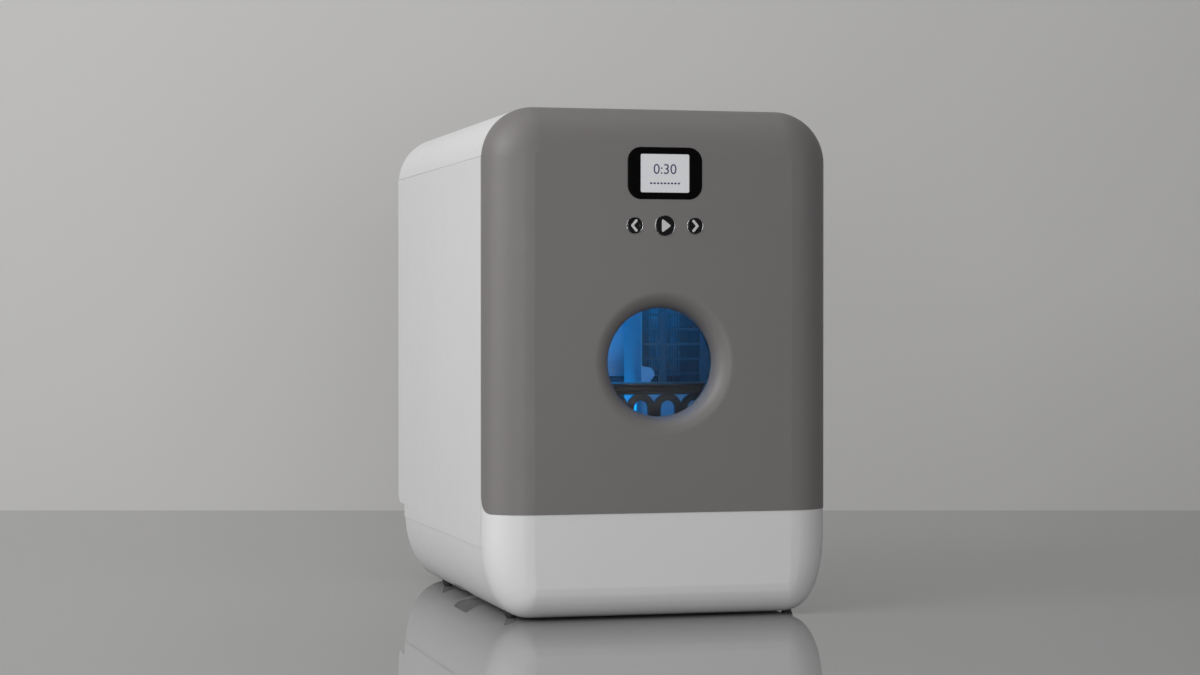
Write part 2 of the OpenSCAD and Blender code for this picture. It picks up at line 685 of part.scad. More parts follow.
// One hose from the tank to the sump, and one from the inlet valve to the tank
module tank_hoses() color(black) {
    elbow_tube([tank_port.x, tank_port.y, tank_z0 - 5], [tank_port.x, tank_port.y, sump_tap_z],
        [tank_port.x, sump_xy.y + sump_r - 3, sump_tap_z], 14, 8, 6 + hose_gap);
    difference() {
        rod_z(supply_xy.x, supply_xy.y, port_z + 20, tank_z0 - 5, 8);
        rod_z(supply_xy.x, supply_xy.y, port_z + 19, tank_z0 - 4, 6 + hose_gap);
    }
}

module fan_housing() color(dark) {
    difference() {
        box([fan_c.x - fan_r - 4, tub_y1, fan_c.z - fan_r - 4],
            [fan_c.x + fan_r + 4, tub_y1 + 28, fan_c.z + fan_r + 4]);
        rod_y(fan_c.x, tub_y1 - 1, tub_y1 + 29, fan_c.z, fan_r);
    }
    difference() {
        union() {
            rod_y(fan_c.x, tub_y1 + 20, tub_y1 + 28, fan_c.z, 15);
            for (a = [45, 135]) translate([fan_c.x, 0, fan_c.z]) rotate([0, a, 0])
                box([-fan_r - 1, tub_y1 + 23, -2], [fan_r + 1, tub_y1 + 27, 2]);
        }
        rod_y(fan_c.x, tub_y1 + 10, tub_y1 + 26, fan_c.z, 2 + run_gap);
    }
}

module fan_rotor() color(dark) {
    rod_y(fan_c.x, tub_y1 + 6, tub_y1 + 19, fan_c.z, 14);
    rod_y(fan_c.x, tub_y1 + 18, tub_y1 + 25, fan_c.z, 2);
    for (i = [0:6]) translate([fan_c.x, tub_y1 + 12, fan_c.z]) rotate([0, i * 360 / 7, 0])
        rotate([35, 0, 0]) box([10, -0.8, -8], [fan_r - 2, 0.8, 8]);
}

// Mains inlet with three blades in a socket
module power_inlet() color(black) {
    difference() {
        union() {
            box([-14, base_rear_y - 22, port_z - 10], [14, base_rear_y, port_z + 10]);
            difference() {
                box([-20, base_rear_y, port_z - 14], [20, base_rear_y + 2.5, port_z + 14]);
                for (side = [-1, 1]) rod_y(side * 17.2, base_rear_y - 1, base_rear_y + 3, port_z, 1.4);
            }
        }
        box([-12, base_rear_y - 16, port_z - 8], [12, base_rear_y + 3, port_z + 8]);
    }
    for (p = [[-7, -3], [0, 3], [7, -3]]) box([p.x - 1, base_rear_y - 17, port_z + p.y - 2],
        [p.x + 1, base_rear_y - 3, port_z + p.y + 2]);
}

module drain_spigot() color(black) difference() {
    union() {
        rod_y(port_x, base_rear_y - 24, base_rear_y + port_l, port_z, drain_r - 2.5);
        rod_y(port_x, base_rear_y - 4, base_rear_y + port_l - 4, port_z, drain_r);
        rod_y(port_x, base_rear_y, base_rear_y + 3, port_z, drain_r + 4);
    }
    rod_y(port_x, base_rear_y - 25, base_rear_y + port_l + 1, port_z, drain_r - 4.5);
}

module inlet_valve() color(white) difference() {
    union() {
        rod_y(inlet_x, base_rear_y - 30, base_rear_y + port_l, port_z, inlet_r);
        rod_y(inlet_x, base_rear_y, base_rear_y + 3, port_z, inlet_r + 4);
        box([inlet_x - 15, base_rear_y - 60, port_z - 15], [inlet_x + 15, base_rear_y - 28, port_z + 15]);
        rod_z(supply_xy.x, supply_xy.y, port_z + 14, port_z + 32, 6);
    }
    rod_y(inlet_x, base_rear_y - 44, base_rear_y + port_l + 1, port_z, inlet_r - 4);
    rod_z(supply_xy.x, supply_xy.y, port_z, port_z + 33, 4);
}

module power_board() color("#2e6b45") {
    box([board_x[0] - 6, board_y, board_z[0] - 6], [board_x[1] + 6, board_y + 1.6, board_z[1] + 6]);
    for (x = [board_x[0] + 8, board_x[0] + 28])
        box([x, board_y - 16, board_z[0] + 2], [x + 14, board_y, board_z[0] + 18]);
    rod_y(board_x[1] - 10, board_y - 20, board_y, board_z[1] - 14, 8);
}

module light_strip() color("#3a7bff") box([-60, tub_y0 + 26, ceil_z - 4], [60, tub_y0 + 36, ceil_z]);

module catch_plate() color(steel) box([catch_x - 5, tub_y0 - frame_t - 2, catch_z - 10],
    [catch_x + 5, tub_y0 - frame_t, catch_z + 10]);

module door_magnet() color(steel) box([catch_x - 5, door_back - 6, catch_z - 10],
    [catch_x + 5, door_back - 0.2, catch_z + 10]);

module feet() color(black) for (side = [-1, 1], y = foot_y) rod_z(side * foot_x, y, 0, 12, foot_r);

module casing_screws() color(steel) for (side = [-1, 1], z = screw_z) {
    rod_y(side * cover_screw_x, rear_y - 1.5, rear_y - 0.2, z, 3.6);
    rod_y(side * cover_screw_x, rear_y - 12, rear_y - 1, z, 1.5);
}

// Goosenecks that reach from the tub's side into the door, so that the pin can lie in its corner
module hinge_arms() color(steel) for (z = hinge_z) difference() {
    union() {
        rod_z(pivot.x, pivot.y, z - hinge_arm_t / 2, z + hinge_arm_t / 2, eye_r);
        for (end = [[pivot.x, pivot.y + 1], [hw - arm_near, tub_y0 + 8]])
            box([hw - arm_far, pivot.y - 5, z - hinge_arm_t / 2], [end.x, end.y, z + hinge_arm_t / 2]);
        box([tub_hw, tub_y0 + 3, z - 14], [hw - arm_near, tub_y0 + 34, z + 14]);
    }
    rod_z(pivot.x, pivot.y, z - 10, z + 10, pin_r);
    box([tub_hw + 4, tub_y0 + 8.01, z - 15], [hw - arm_near + 1, tub_y0 + 35, z + 15]);
}

module hinge_pins() color(steel) for (z = hinge_z)
    rod_z(pivot.x, pivot.y, z - knuckle_h - 2, z + knuckle_h + 2, pin_r);

// Heights of the two knuckles of one hinge, low to high
function knuckles(z) = [
    [z - hinge_arm_t / 2 - knuckle_gap - knuckle_h, z - hinge_arm_t / 2 - knuckle_gap],
    [z + hinge_arm_t / 2 + knuckle_gap, z + hinge_arm_t / 2 + knuckle_gap + knuckle_h]];

module hinge_bushes() color("#b08d45") for (z = hinge_z, k = knuckles(z)) difference() {
    rod_z(pivot.x, pivot.y, k[0], k[1], bush_r);
    rod_z(pivot.x, pivot.y, k[0] - 1, k[1] + 1, pin_r + run_gap);
}

// Side view of the door: heel is the rounding of its lower rear corner, 0 for a square one
module door_slab(x0, x1, t, heel) {
    z0 = door_z + seam / 2;
    along_x(x0, x1, concat([[front_y - 1, z0 + t]],
        heel > 0 ? quarter([door_back - heel, z0 + heel], plain(heel - t), 270)
                 : [[door_back - t, z0 + t], [door_back - t, z0 + heel_r]],
        [[t > 0 ? door_back + 1 : door_back, z0 + heel_r], [t > 0 ? door_back + 1 : door_back, top_z + 1],
        [front_y - 1, top_z + 1]]));
}

module door_form(t) intersection() {
    upper_form(t);
    union() {
        door_slab(-hw - 1, horn_x + 2 + t, t, heel_r);
        door_slab(horn_x + 2 + t, hw + 1, t, 0);
    }
}

// What must be cut from the door so that its hinge edge turns about the pins
module hinge_edge_cut() difference() {
    box([pivot.x, pivot.y, under_z], [hw + 1, door_back + 1, top_z + 1]);
    rod_z(pivot.x, pivot.y, under_z - 1, top_z + 2, edge_r);
}

// Room for the goosenecks as the door turns round them
module hinge_slots() for (z = hinge_z) {
    z0 = z - hinge_arm_t / 2 - knuckle_gap;
    z1 = z + hinge_arm_t / 2 + knuckle_gap;
    box([hw - arm_far - 1.5, pivot.y - 7, z0], [pivot.x + eye_r + 0.5, door_back + 1, z1]);
    box([pivot.x + 2, pivot.y + 0.5, z0], [hw + 1, door_back + 1, z1]);
}

liner_x1 = hw - 6.3;

module door_panel() color(grey) difference() {
    union() {
        difference() {
            door_form(0);
            door_form(wall);
        }
        intersection() {
            door_form(1);
            union() {
                // Rim of the hinge edge, and the knuckles that hold the bushes
                box([hw - 6, pivot.y - 6, door_z], [hw, door_back, top_z]);
                for (z = hinge_z, k = knuckles(z))
                    box([pivot.x - knuckle_w, pivot.y - 8, k[0]], [hw, door_back, k[1]]);
                rod_y(0, front_y + 1, front_y + dish_d, window_z, window_r + dish_lip + 3);
                // Posts for the control board
                for (x = board_posts_x, z = board_posts_z) rod_y(x, front_y + 1, board_front, z, 3.5);
                // Posts for the liner's screws
                for (p = liner_screws) rod_y(p.x, front_y + 1, door_back - wall, p.y, 4);
            }
        }
    }
    hinge_edge_cut();
    hinge_slots();
    for (z = hinge_z, k = knuckles(z)) rod_z(pivot.x, pivot.y, k[0] - 1, k[1] + 0.01, bush_r + run_gap);
    // The window's dish
    translate([0, front_y, window_z]) rotate([-90, 0, 0]) rotate_extrude()
        polygon(concat([[0, -1], [window_r + dish_lip, -1]],
            [for (i = [0:8]) let (a = i * 90 / 8) [window_r + dish_lip - (dish_lip - 2) * sin(a),
                (dish_lip - 2) * (1 - cos(a))]], [[window_r, dish_d + 1], [0, dish_d + 1]]));
    along_y(front_y - 1, front_y + wall + 1, outline([-bezel_w / 2 - 0.2, display_z - bezel_h / 2 - 0.2],
        [bezel_w / 2 + 0.2, display_z + bezel_h / 2 + 0.2], plain(bezel_r), plain(bezel_r)));
    for (i = [-1:1]) rod_y(i * button_pitch, front_y - 1, front_y + wall + 1, button_z, rim_r(i) + 0.1);
    for (p = liner_screws) rod_y(p.x, front_y + 12, door_back, p.y, 1.5);
    rod_y(0, front_y + dish_d, door_back + 1, window_z, window_r + 16);
}
bezel_r = 13;
board_front = front_y + 13;
board_posts_x = [-44, 44];
board_posts_z = [button_z - 16, display_z - 34];
liner_screws = [for (x = [-hw + 22, hw - 40], z = [door_z + 42, lid_z - 20]) [x, z]];

function rim_r(i) = i == 0 ? start_rim_r : side_rim_r;

module door_liner() color(white) difference() {
    along_y(door_back - wall, door_back, outline([-hw + wall + 0.3, door_z + seam / 2 + heel_r + 0.2],
        [liner_x1, top_z - wall - 0.3], plain(1), plain(top_r - wall - 0.3)));
    rod_y(0, door_back - 10, door_back + 1, window_z, window_r + 12.2);
    hinge_edge_cut();
    hinge_slots();
    for (z = hinge_z, k = knuckles(z)) box([pivot.x - knuckle_w - 0.3, door_back - 10, k[0] - 0.3],
        [hw, door_back + 1, k[1] + 0.3]);
    box([catch_x - 5.2, door_back - 10, catch_z - 10.2], [catch_x + 5.2, door_back + 1, catch_z + 10.2]);
    for (p = liner_screws) rod_y(p.x, door_back - 10, door_back + 1, p.y, 1.6);
}

module door_screws() color(steel) for (p = liner_screws) {
    rod_y(p.x, door_back, door_back + 1.6, p.y, 3.4);
    rod_y(p.x, door_back - 12, door_back + 1, p.y, 1.4);
}

module window_lens() color("#9fc4e8") rod_y(0, front_y + dish_d + 0.1, front_y + dish_d + 0.1 + lens_t,
    window_z, window_r + 10);

// Retainer that presses the pane against the dish and lines the way through the door
module window_ring() color(black) difference() {
    union() {
        rod_y(0, front_y + dish_d + 0.2 + lens_t, door_back + 1, window_z, window_r + 12);
        rod_y(0, door_back, door_back + 1.5, window_z, window_r + 18);
    }
    rod_y(0, front_y + dish_d, door_back + 3, window_z, window_r + 3);
}

module display_bezel() color(black) difference() {
    union() {
        along_y(front_y - proud, front_y + wall + 0.3, outline([-bezel_w / 2, display_z - bezel_h / 2],
            [bezel_w / 2, display_z + bezel_h / 2], plain(bezel_r), plain(bezel_r)));
        box([-bezel_w / 2 - 3, front_y + wall + 0.2, display_z - bezel_h / 2 + 6],
            [bezel_w / 2 + 3, front_y + wall + 2, display_z + bezel_h / 2 - 8]);
    }
    along_y(front_y - 1, front_y + 2.4, outline([-screen_w / 2 - 0.1, display_z - screen_h / 2 - 0.1],
        [screen_w / 2 + 0.1, display_z + screen_h / 2 + 0.1], plain(1.5), plain(1.5)));
}

module display_screen() color("#dfe3ea") along_y(front_y - proud + 0.3, front_y + 2.3,
    outline([-screen_w / 2, display_z - screen_h / 2], [screen_w / 2, display_z + screen_h / 2],
        plain(1.5), plain(1.5)));

module control_board() color("#2e6b45") {
    box([-50, board_front, button_z - 22], [50, board_front + 1.6, display_z + 22]);
    // Tactile switches behind the buttons
    for (i = [-1:1]) rod_y(i * button_pitch, board_front - 3, board_front, button_z, 3);
    // Block that carries the display
    box([-24, front_y + wall + 2.1, display_z - 16], [24, board_front, display_z + 16]);
}

module button_rims() color(steel) for (i = [-1:1]) difference() {
    rod_y(i * button_pitch, front_y - proud, front_y + wall + 1, button_z, rim_r(i));
    rod_y(i * button_pitch, front_y - proud - 1, front_y + wall + 2, button_z, rim_r(i) - 0.9);
}

// One button, counted from the middle one: -1, 0 or 1
module button(i) color(black) {
    rod_y(i * button_pitch, front_y - 0.2, front_y + wall + 2, button_z, rim_r(i) - 1.2);
    rod_y(i * button_pitch, front_y + wall + 1.3, front_y + wall + 2.8, button_z, rim_r(i) + 0.8);
    rod_y(i * button_pitch, front_y + wall + 2, board_front - 3.3 - button_travel, button_z, 2.5);
}
module button_left() button(-1);
module button_start() button(0);
module button_right() button(1);

// Detergent box on the inner door, with a cover that slides sideways
disp_x = [-hw + 62, -hw + 152];
disp_z = [window_z + window_r + 22, window_z + window_r + 86];
disp_t = 13;
slot_y = door_back + 8.5;
slot_t = 2.5;
cover_w = 46;
cover_gap = 0.3;
module dispenser_box() color(white) difference() {
    box([disp_x[0], door_back, disp_z[0]], [disp_x[1], door_back + disp_t, disp_z[1]]);
    // Cup for the tablet
    box([disp_x[0] + 7, door_back + 2, disp_z[0] + 10],
        [disp_x[0] + 42, door_back + disp_t + 1, disp_z[1] - 10]);
    // Grooves and gate of the cover
    box([disp_x[0] + 3, slot_y, disp_z[0] + 6], [disp_x[1] + 1, slot_y + slot_t, disp_z[1] - 6]);
    box([disp_x[0] + 3, slot_y, disp_z[0] + 9], [disp_x[1] + 1, door_back + disp_t + 1, disp_z[1] - 9]);
}
module dispenser_cover() color(grey) {
    x0 = disp_x[0] + 3 + cover_gap;
    box([x0, slot_y + cover_gap, disp_z[0] + 6 + cover_gap],
        [x0 + cover_w, slot_y + slot_t - cover_gap, disp_z[1] - 6 - cover_gap]);
    box([x0 + 31, slot_y + 1, disp_z[0] + 14], [x0 + 35, door_back + disp_t - 0.3, disp_z[1] - 14]);
}

// Loop of the basket's outline, t thick, from z0 to z1
module basket_loop(t, z0, z1) difference() {
    basket_slab(0, z0, z1);
    basket_slab(t, z0 - 1, z1 + 1);
}
module basket_slab(t, z0, z1) along_z(z0, z1, outline([-basket_hw + t, basket_y0 + t],
    [basket_hw - t, basket_y1 - t], plain(basket_corner - t), plain(rear_corner - t)));

// How far the front row of arches is off the middle
front_shift = -5;
// Row of arches in the XZ plane, centred on the origin, len long and d thick
module arches(len, d) {
    count = floor(len / arch_pitch);
    out_r = arch_pitch / 2 + 0.5;
    in_r = out_r - strip + 1;
    crown = rim_z0 + 1 - out_r;
    rotate([90, 0, 0]) translate([0, 0, -d / 2]) linear_extrude(d) for (i = [0:count - 1])
        translate([(i - (count - 1) / 2) * arch_pitch, 0]) difference() {
            union() {
                translate([0, crown]) circle(out_r);
                translate([-out_r, basket_z0 + 2]) square([2 * out_r, crown - basket_z0 - 2]);
            }
            translate([0, crown]) circle(in_r);
            translate([-in_r, basket_z0]) square([2 * in_r, crown - basket_z0]);
        }
}

module basket_frame() color(dark) {
    basket_loop(strip, rim_z0, rim_z1);
    basket_loop(strip, basket_z0, basket_z0 + 8);
    mid = strip / 2;
    side_l = basket_y1 - basket_y0 - basket_corner - rear_corner;
    side_y = (basket_y0 + basket_corner + basket_y1 - rear_corner) / 2;
    translate([front_shift, basket_y0 + mid, 0])
        arches(2 * (basket_hw - basket_corner + front_shift), strip - 2);
    translate([0, basket_y1 - mid, 0]) arches(2 * (basket_hw - rear_corner), strip - 2);
    for (side = [-1, 1]) translate([side * (basket_hw - mid), side_y, 0]) rotate([0, 0, 90])
        arches(side_l, strip - 2);
}

// Floor bars of the basket and the tines that hold plates upright
module plate_rack() color(dark) {
    x_end = basket_hw - strip - 0.05;
    bar_pitch = x_end / 4.4;
    y_end = [basket_y0 + strip + 0.05, basket_y1 - strip - 0.05];
    intersection() {
        basket_slab(strip + 0.05, rack_z, rack_z + 3);
        union() {
            for (i = [-4:4]) box([i * bar_pitch - 1.5, y_end[0], rack_z],
                [i * bar_pitch + 1.5, y_end[1], rack_z + 3]);
            for (i = [0:6]) let (y = y_end[0] + 10 + i * (y_end[1] - y_end[0] - 20) / 6)
                box([-x_end, y - 1.5, rack_z], [x_end, y + 1.5, rack_z + 3]);
        }
    }
    for (row = [-3, -1], i = [0:8]) rod_z(row * bar_pitch,
        y_end[0] + 40 + i * (y_end[1] - y_end[0] - 60) / 8, rack_z + 1, rack_z + 52, 1.6);
}

// Open grid that stands on the rack at the back right
cut_x = [basket_hw - strip - 77, basket_hw - strip - 5];
cut_y = [basket_y1 - strip - 76, basket_y1 - strip - 6];
cut_z = [rack_z + 3.1, rack_z + 170];
cut_bar = 2.4;
module cutlery_basket() color(dark) {
    x1 = cut_x[1] - cut_bar;
    y1 = cut_y[1] - cut_bar;
    difference() {
        box([cut_x[0], cut_y[0], cut_z[0]], [cut_x[1], cut_y[1], cut_z[0] + cut_bar]);
        for (i = [0:4], j = [0:4]) box([cut_x[0] + 5 + i * 12.6, cut_y[0] + 5 + j * 12.2, cut_z[0] - 1],
            [cut_x[0] + 15 + i * 12.6, cut_y[0] + 14 + j * 12.2, cut_z[0] + cut_bar + 1]);
    }
    for (i = [0:7]) let (z = cut_z[0] + i * (cut_z[1] - cut_z[0] - cut_bar) / 7) difference() {
        box([cut_x[0], cut_y[0], z], [cut_x[1], cut_y[1], z + cut_bar]);
        box([cut_x[0] + cut_bar, cut_y[0] + cut_bar, z - 1], [x1, y1, z + cut_bar + 1]);
    }
    for (i = [0:5], y = [cut_y[0], y1]) let (x = cut_x[0] + i * (x1 - cut_x[0]) / 5)
        box([x, y, cut_z[0]], [x + cut_bar, y + cut_bar, cut_z[1]]);
    for (i = [1:5], x = [cut_x[0], x1]) let (y = cut_y[0] + i * (y1 - cut_y[0]) / 6)
        box([x, y, cut_z[0]], [x + cut_bar, y + cut_bar, cut_z[1]]);
}

// Flush filler lid that turns about a barrel along its rear edge
module tank_lid() color(white) {
    x = [lid_x - lid_w / 2, lid_x + lid_w / 2];
    box([x[0], lid_y0, top_z - wall], [x[1], lid_axis.x, top_z - 0.05]);
    rod_x(x[0], x[1], lid_axis.x, lid_axis.y, lid_barrel);
    rod_x(x[0] - 6, x[1] + 6, lid_axis.x, lid_axis.y, lid_pin_r);
}

side_panel_left();
side_panel_right();
top_cover();
rear_cover();
base_tray();
front_fascia();
front_frame();
tub();
tub_gasket();
basket_rails();
sump();
filter_plate();
spray_hub();
water_tank();
wash_pump();
wash_motor();
drain_pump();
drain_motor();
heater();
riser_pipe();
hose_couplings();
drain_hose();
tank_hoses();
fan_housing();
power_inlet();
drain_spigot();
inlet_valve();
power_board();
light_strip();
catch_plate();
feet();
casing_screws();
hinge_arms();
hinge_pins();
door_panel();
door_liner();
window_lens();
window_ring();
display_bezel();
display_screen();
control_board();
button_rims();
hinge_bushes();
door_magnet();
dispenser_box();
door_screws();
button_left();
button_start();
button_right();
dispenser_cover();
basket_frame();
plate_rack();
cutlery_basket();
spray_arm();
tank_lid();
filter_cup();
wash_impeller();
drain_impeller();
fan_rotor();
level_float();
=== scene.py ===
"""Looks of a countertop dishwasher, built around its packed CAD model.

The front faces -Y, +Z is up, and all lengths are in metres. The CAD model is loaded as a fixed
frame. Each operator makes one piece, or a group of like pieces, on the bodies of that frame.
"""

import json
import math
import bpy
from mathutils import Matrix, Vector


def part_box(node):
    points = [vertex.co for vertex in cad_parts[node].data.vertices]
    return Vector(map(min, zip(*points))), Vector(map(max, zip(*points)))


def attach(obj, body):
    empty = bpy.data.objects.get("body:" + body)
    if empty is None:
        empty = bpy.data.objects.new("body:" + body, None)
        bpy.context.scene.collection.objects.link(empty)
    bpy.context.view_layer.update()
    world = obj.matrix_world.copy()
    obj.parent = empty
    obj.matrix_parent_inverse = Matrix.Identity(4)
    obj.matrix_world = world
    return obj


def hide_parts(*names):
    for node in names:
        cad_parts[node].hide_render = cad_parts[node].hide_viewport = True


bl_info = {
    "name": "Countertop dishwasher",
    "version": (1, 0, 0),
    "blender": (4, 5, 0),
    "location": "3D Viewport > Sidebar > Dishwasher",
    "description": "Builds the casing, door, controls, basket and stage of a countertop dishwasher",
    "category": "Object",
}

import bmesh
import bpy
from bpy.props import FloatProperty, FloatVectorProperty, PointerProperty
from mathutils import Matrix, Vector
from mathutils.geometry import tessellate_polygon

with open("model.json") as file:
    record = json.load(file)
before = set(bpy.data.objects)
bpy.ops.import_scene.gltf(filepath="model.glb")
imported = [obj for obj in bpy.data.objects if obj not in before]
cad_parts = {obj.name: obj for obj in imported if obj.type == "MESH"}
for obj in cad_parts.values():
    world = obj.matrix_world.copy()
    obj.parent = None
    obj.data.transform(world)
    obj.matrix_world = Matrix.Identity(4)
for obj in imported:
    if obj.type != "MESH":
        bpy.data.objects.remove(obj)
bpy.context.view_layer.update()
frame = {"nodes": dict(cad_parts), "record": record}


def middle(node, axis):
    low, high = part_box(node)
    return (low[axis] + high[axis]) / 2


# Edges that the pieces share with the CAD model
DOOR_LOW, DOOR_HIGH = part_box("door_panel")
FASCIA_LOW, FASCIA_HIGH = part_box("front_fascia")
TRAY_LOW, TRAY_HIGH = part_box("base_tray")
COVER_LOW, COVER_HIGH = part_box("top_cover")
PINS_LOW, PINS_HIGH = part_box("hinge_pins")
LID_LOW, LID_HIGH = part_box("tank_lid")
PANE_LOW, PANE_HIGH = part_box("window_lens")
SCREEN_LOW, SCREEN_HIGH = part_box("display_screen")
BASKET_LOW, BASKET_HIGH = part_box("basket_frame")
CUTLERY_LOW, CUTLERY_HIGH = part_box("cutlery_basket")
LIGHT_LOW, LIGHT_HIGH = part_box("light_strip")
HALF_W = DOOR_HIGH.x
FRONT = DOOR_LOW.y
DOOR_BACK = DOOR_HIGH.y
PIVOT = (PINS_LOW + PINS_HIGH) / 2
WINDOW_Z = middle("window_lens", 2)
BUTTON_Z = middle("button_start", 2)
DISPLAY_Z = middle("display_screen", 2)

# Small measures that several pieces share
GAP = 0.0001  # between faces that slide past one another
OVER = 0.001  # how far a cutter reaches past the face that it opens
RING = 0.0008  # width of the flat ring between a rounding and its face
CURL = HALF_W - PIVOT.x - GAP  # radius of the door's edge round the hinge pins
ARM = 0.004  # half height of the slots for the hinge arms
BEZEL_W, BEZEL_H = 0.073, 0.049
HEEL_W, HORN_W = 0.022, 0.020  # the door's rounded heel, and the fascia's horn beneath it
TINY = 1e-6


def length(name, text, value):
    return FloatProperty(name=name, description=text, default=value, min=0.0,
                         subtype="DISTANCE", unit="LENGTH")


def power(name, text, value):
    return FloatProperty(name=name, description=text, default=value, min=0.0, unit="POWER")


def colour(name, text, value):
    return FloatVectorProperty(name=name, description=text, default=value, size=3,
                               min=0.0, max=1.0, subtype="COLOR")


class CasingSettings(bpy.types.PropertyGroup):
    """Sizes and colours of the outer shells"""

    wall: length("Wall", "Thickness of the plastic shells", 0.003)
    top_radius: length("Top radius", "Radius of the top corners, seen from the front", 0.050)
    front_side: length("Front rounding, sideways", "Width of the rounding round the front", 0.043)
    front_depth: length("Front rounding, depth", "Depth of the rounding round the front", 0.038)
    base_width: length("Base corner width", "Width of the base's bottom corners", 0.046)
    base_height: length("Base corner height", "Height of the base's bottom corners", 0.080)
    base_soft: FloatProperty(name="Base corner fullness", default=2.4, min=1.0, max=6.0,
                             description="Power of the base's bottom corners, 2 for an ellipse")
    base_front: length("Base front radius", "Rounding of the base's lower front edge", 0.029)
    base_rear: length("Base rear radius", "Rounding of the base's lower rear edge", 0.024)
    base_plan: length("Base plan radius", "Rear corners of the base, seen from above", 0.012)
    rear_radius: length("Rear radius", "Rounding of the rear edges", 0.004)
    heel: length("Door heel", "Rounding of the door's lower rear corner", 0.019)
    seam: length("Seam", "Width of the seams between shells", 0.0002)
    foot: length("Foot radius", "Radius of the rubber feet", 0.007)
    edge: length("Edge break", "Rounding of the shells' cut edges", 0.0005)
    casing_colour: colour("Casing", "Colour of the light casing", (0.60, 0.598, 0.602))
    door_colour: colour("Door", "Colour of the door", (0.149, 0.1415, 0.1385))


class WindowSettings(bpy.types.PropertyGroup):
    """Sizes of the round window"""

    opening: length("Opening", "Radius of the clear pane", 0.0515)
    throat: length("Throat radius", "Where the dish's wall meets its rounded edge", 0.0523)
    lip: length("Lip radius", "Outer radius of the dish round the window", 0.068)
    depth: length("Rounding depth", "Depth of the rounded edge of the window's dish", 0.0165)
    seat: length("Seat depth", "Depth at which the dish meets the pane", 0.020)


class ControlSettings(bpy.types.PropertyGroup):
    """Sizes of the display and the buttons"""

    bezel_radius: length("Bezel radius", "Corner radius of the display's bezel", 0.013)
    pitch: length("Button pitch", "Distance between neighbouring buttons", 0.0296)
    side_rim: length("Side rim", "Outer radius of the side buttons' rims", 0.0081)
    start_rim: length("Start rim", "Outer radius of the start button's rim", 0.010)
    digits: length("Digit height", "Size of the countdown on the display", 0.0135)


class BasketSettings(bpy.types.PropertyGroup):
    """Sizes of the dish basket"""

    strip: length("Strip", "Thickness of the basket's rim", 0.007)
    rim: length("Rim height", "Height of the basket's rim", 0.012)
    corner: length("Front corner", "Radius of the basket's front corners", 0.045)
    rear_corner: length("Rear corner", "Radius of the basket's rear corners", 0.020)
    pitch: length("Arch pitch", "Distance between neighbouring arches", 0.027)
    wire_gap: length("Wire gap", "Between the cutlery basket's upright wires", 0.003)
    ring_gap: length("Ring gap", "Between the cutlery basket's level wires", 0.0154)


class StageSettings(bpy.types.PropertyGroup):
    """Floor, backdrop, lamps and camera"""

    floor: colour("Floor", "Colour of the floor", (0.24, 0.24, 0.238))
    wall: colour("Backdrop", "Colour of the backdrop", (0.52, 0.515, 0.51))
    key: power("Key light", "Power of the large lamp on the left", 87.0)
    fill: power("Fill light", "Power of the lamp in front", 32.0)
    low: power("Low light", "Power of the low lamp that reaches under the casing", 6.0)
    top: power("Top light", "Power of the lamp overhead", 12.5)
    tub: power("Tub light", "Power of the blue lamp in the tub", 0.46)
    room: FloatProperty(name="Room light", description="Light from all round", default=0.24,
                        min=0.0)
    focal: FloatProperty(name="Focal length", description="Focal length of the camera",
                         default=78.05, min=1.0, unit="CAMERA")


# Curves and sections


def angles(step, stop, first=0):
    """Multiples of a step in degrees, as radians, from the first up to before the stop"""
    return [math.radians(step * i) for i in range(first, stop)]


def quarter(cx, cy, rx, ry, start, steps=16, power=2.0, turn=90.0):
    """Points along a quarter of an ellipse, or of a fuller curve where power is above 2"""
    points = []
    for a in (math.radians(start + turn * i / steps) for i in range(steps + 1)):
        c, s = math.cos(a), math.sin(a)
        points.append((cx + rx * math.copysign(abs(c) ** (2 / power), c),
                       cy + ry * math.copysign(abs(s) ** (2 / power), s)))
    return points


def rounded(cx, cy, w, h, r, steps=8):
    """Rectangle with round corners, counter-clockwise from the right side"""
    points = []
    for sx, sy, start in ((1, 1, 0), (-1, 1, 90), (-1, -1, 180), (1, -1, 270)):
        points += quarter(cx + sx * (w / 2 - r), cy + sy * (h / 2 - r), r, r, start, steps)
    return points


def circle(cx, cy, r, steps):
    turns = (2 * math.pi * i / steps for i in range(steps))
    return [(cx + r * math.cos(a), cy + r * math.sin(a)) for a in turns]


def at_y(points, y):
    return [Vector((x, y, z)) for x, z in points]


def at_z(points, z):
    return [Vector((x, y, z)) for x, y in points]


def inset(depth, side, reach):
    """How far an elliptical rounding has drawn in at a depth from its face"""
    if depth >= reach:
        return 0.0
    return side * (1 - math.sqrt(max(0.0, 1 - ((reach - depth) / reach) ** 2)))


def rounding(face, reach, steps):
    """Stations along a rounding that starts at a face, one for each equal turn"""
    return [face + reach * (1 - math.sin(a)) for a in angles(90 / steps, steps + 1)]


def merged(*lists, gap=0.00025):
    """One rising list of the stations in several, without near repeats"""
    values = sorted(v for part in lists for v in part)
    kept = values[:1]
    for v in values[1:]:
        if v - kept[-1] > gap:
            kept.append(v)
    kept[-1] = values[-1]
    return kept


def placed(name, data):
    """New object in the scene"""
    made = bpy.data.objects.new(name, data)
    bpy.context.scene.collection.objects.link(made)
    return made


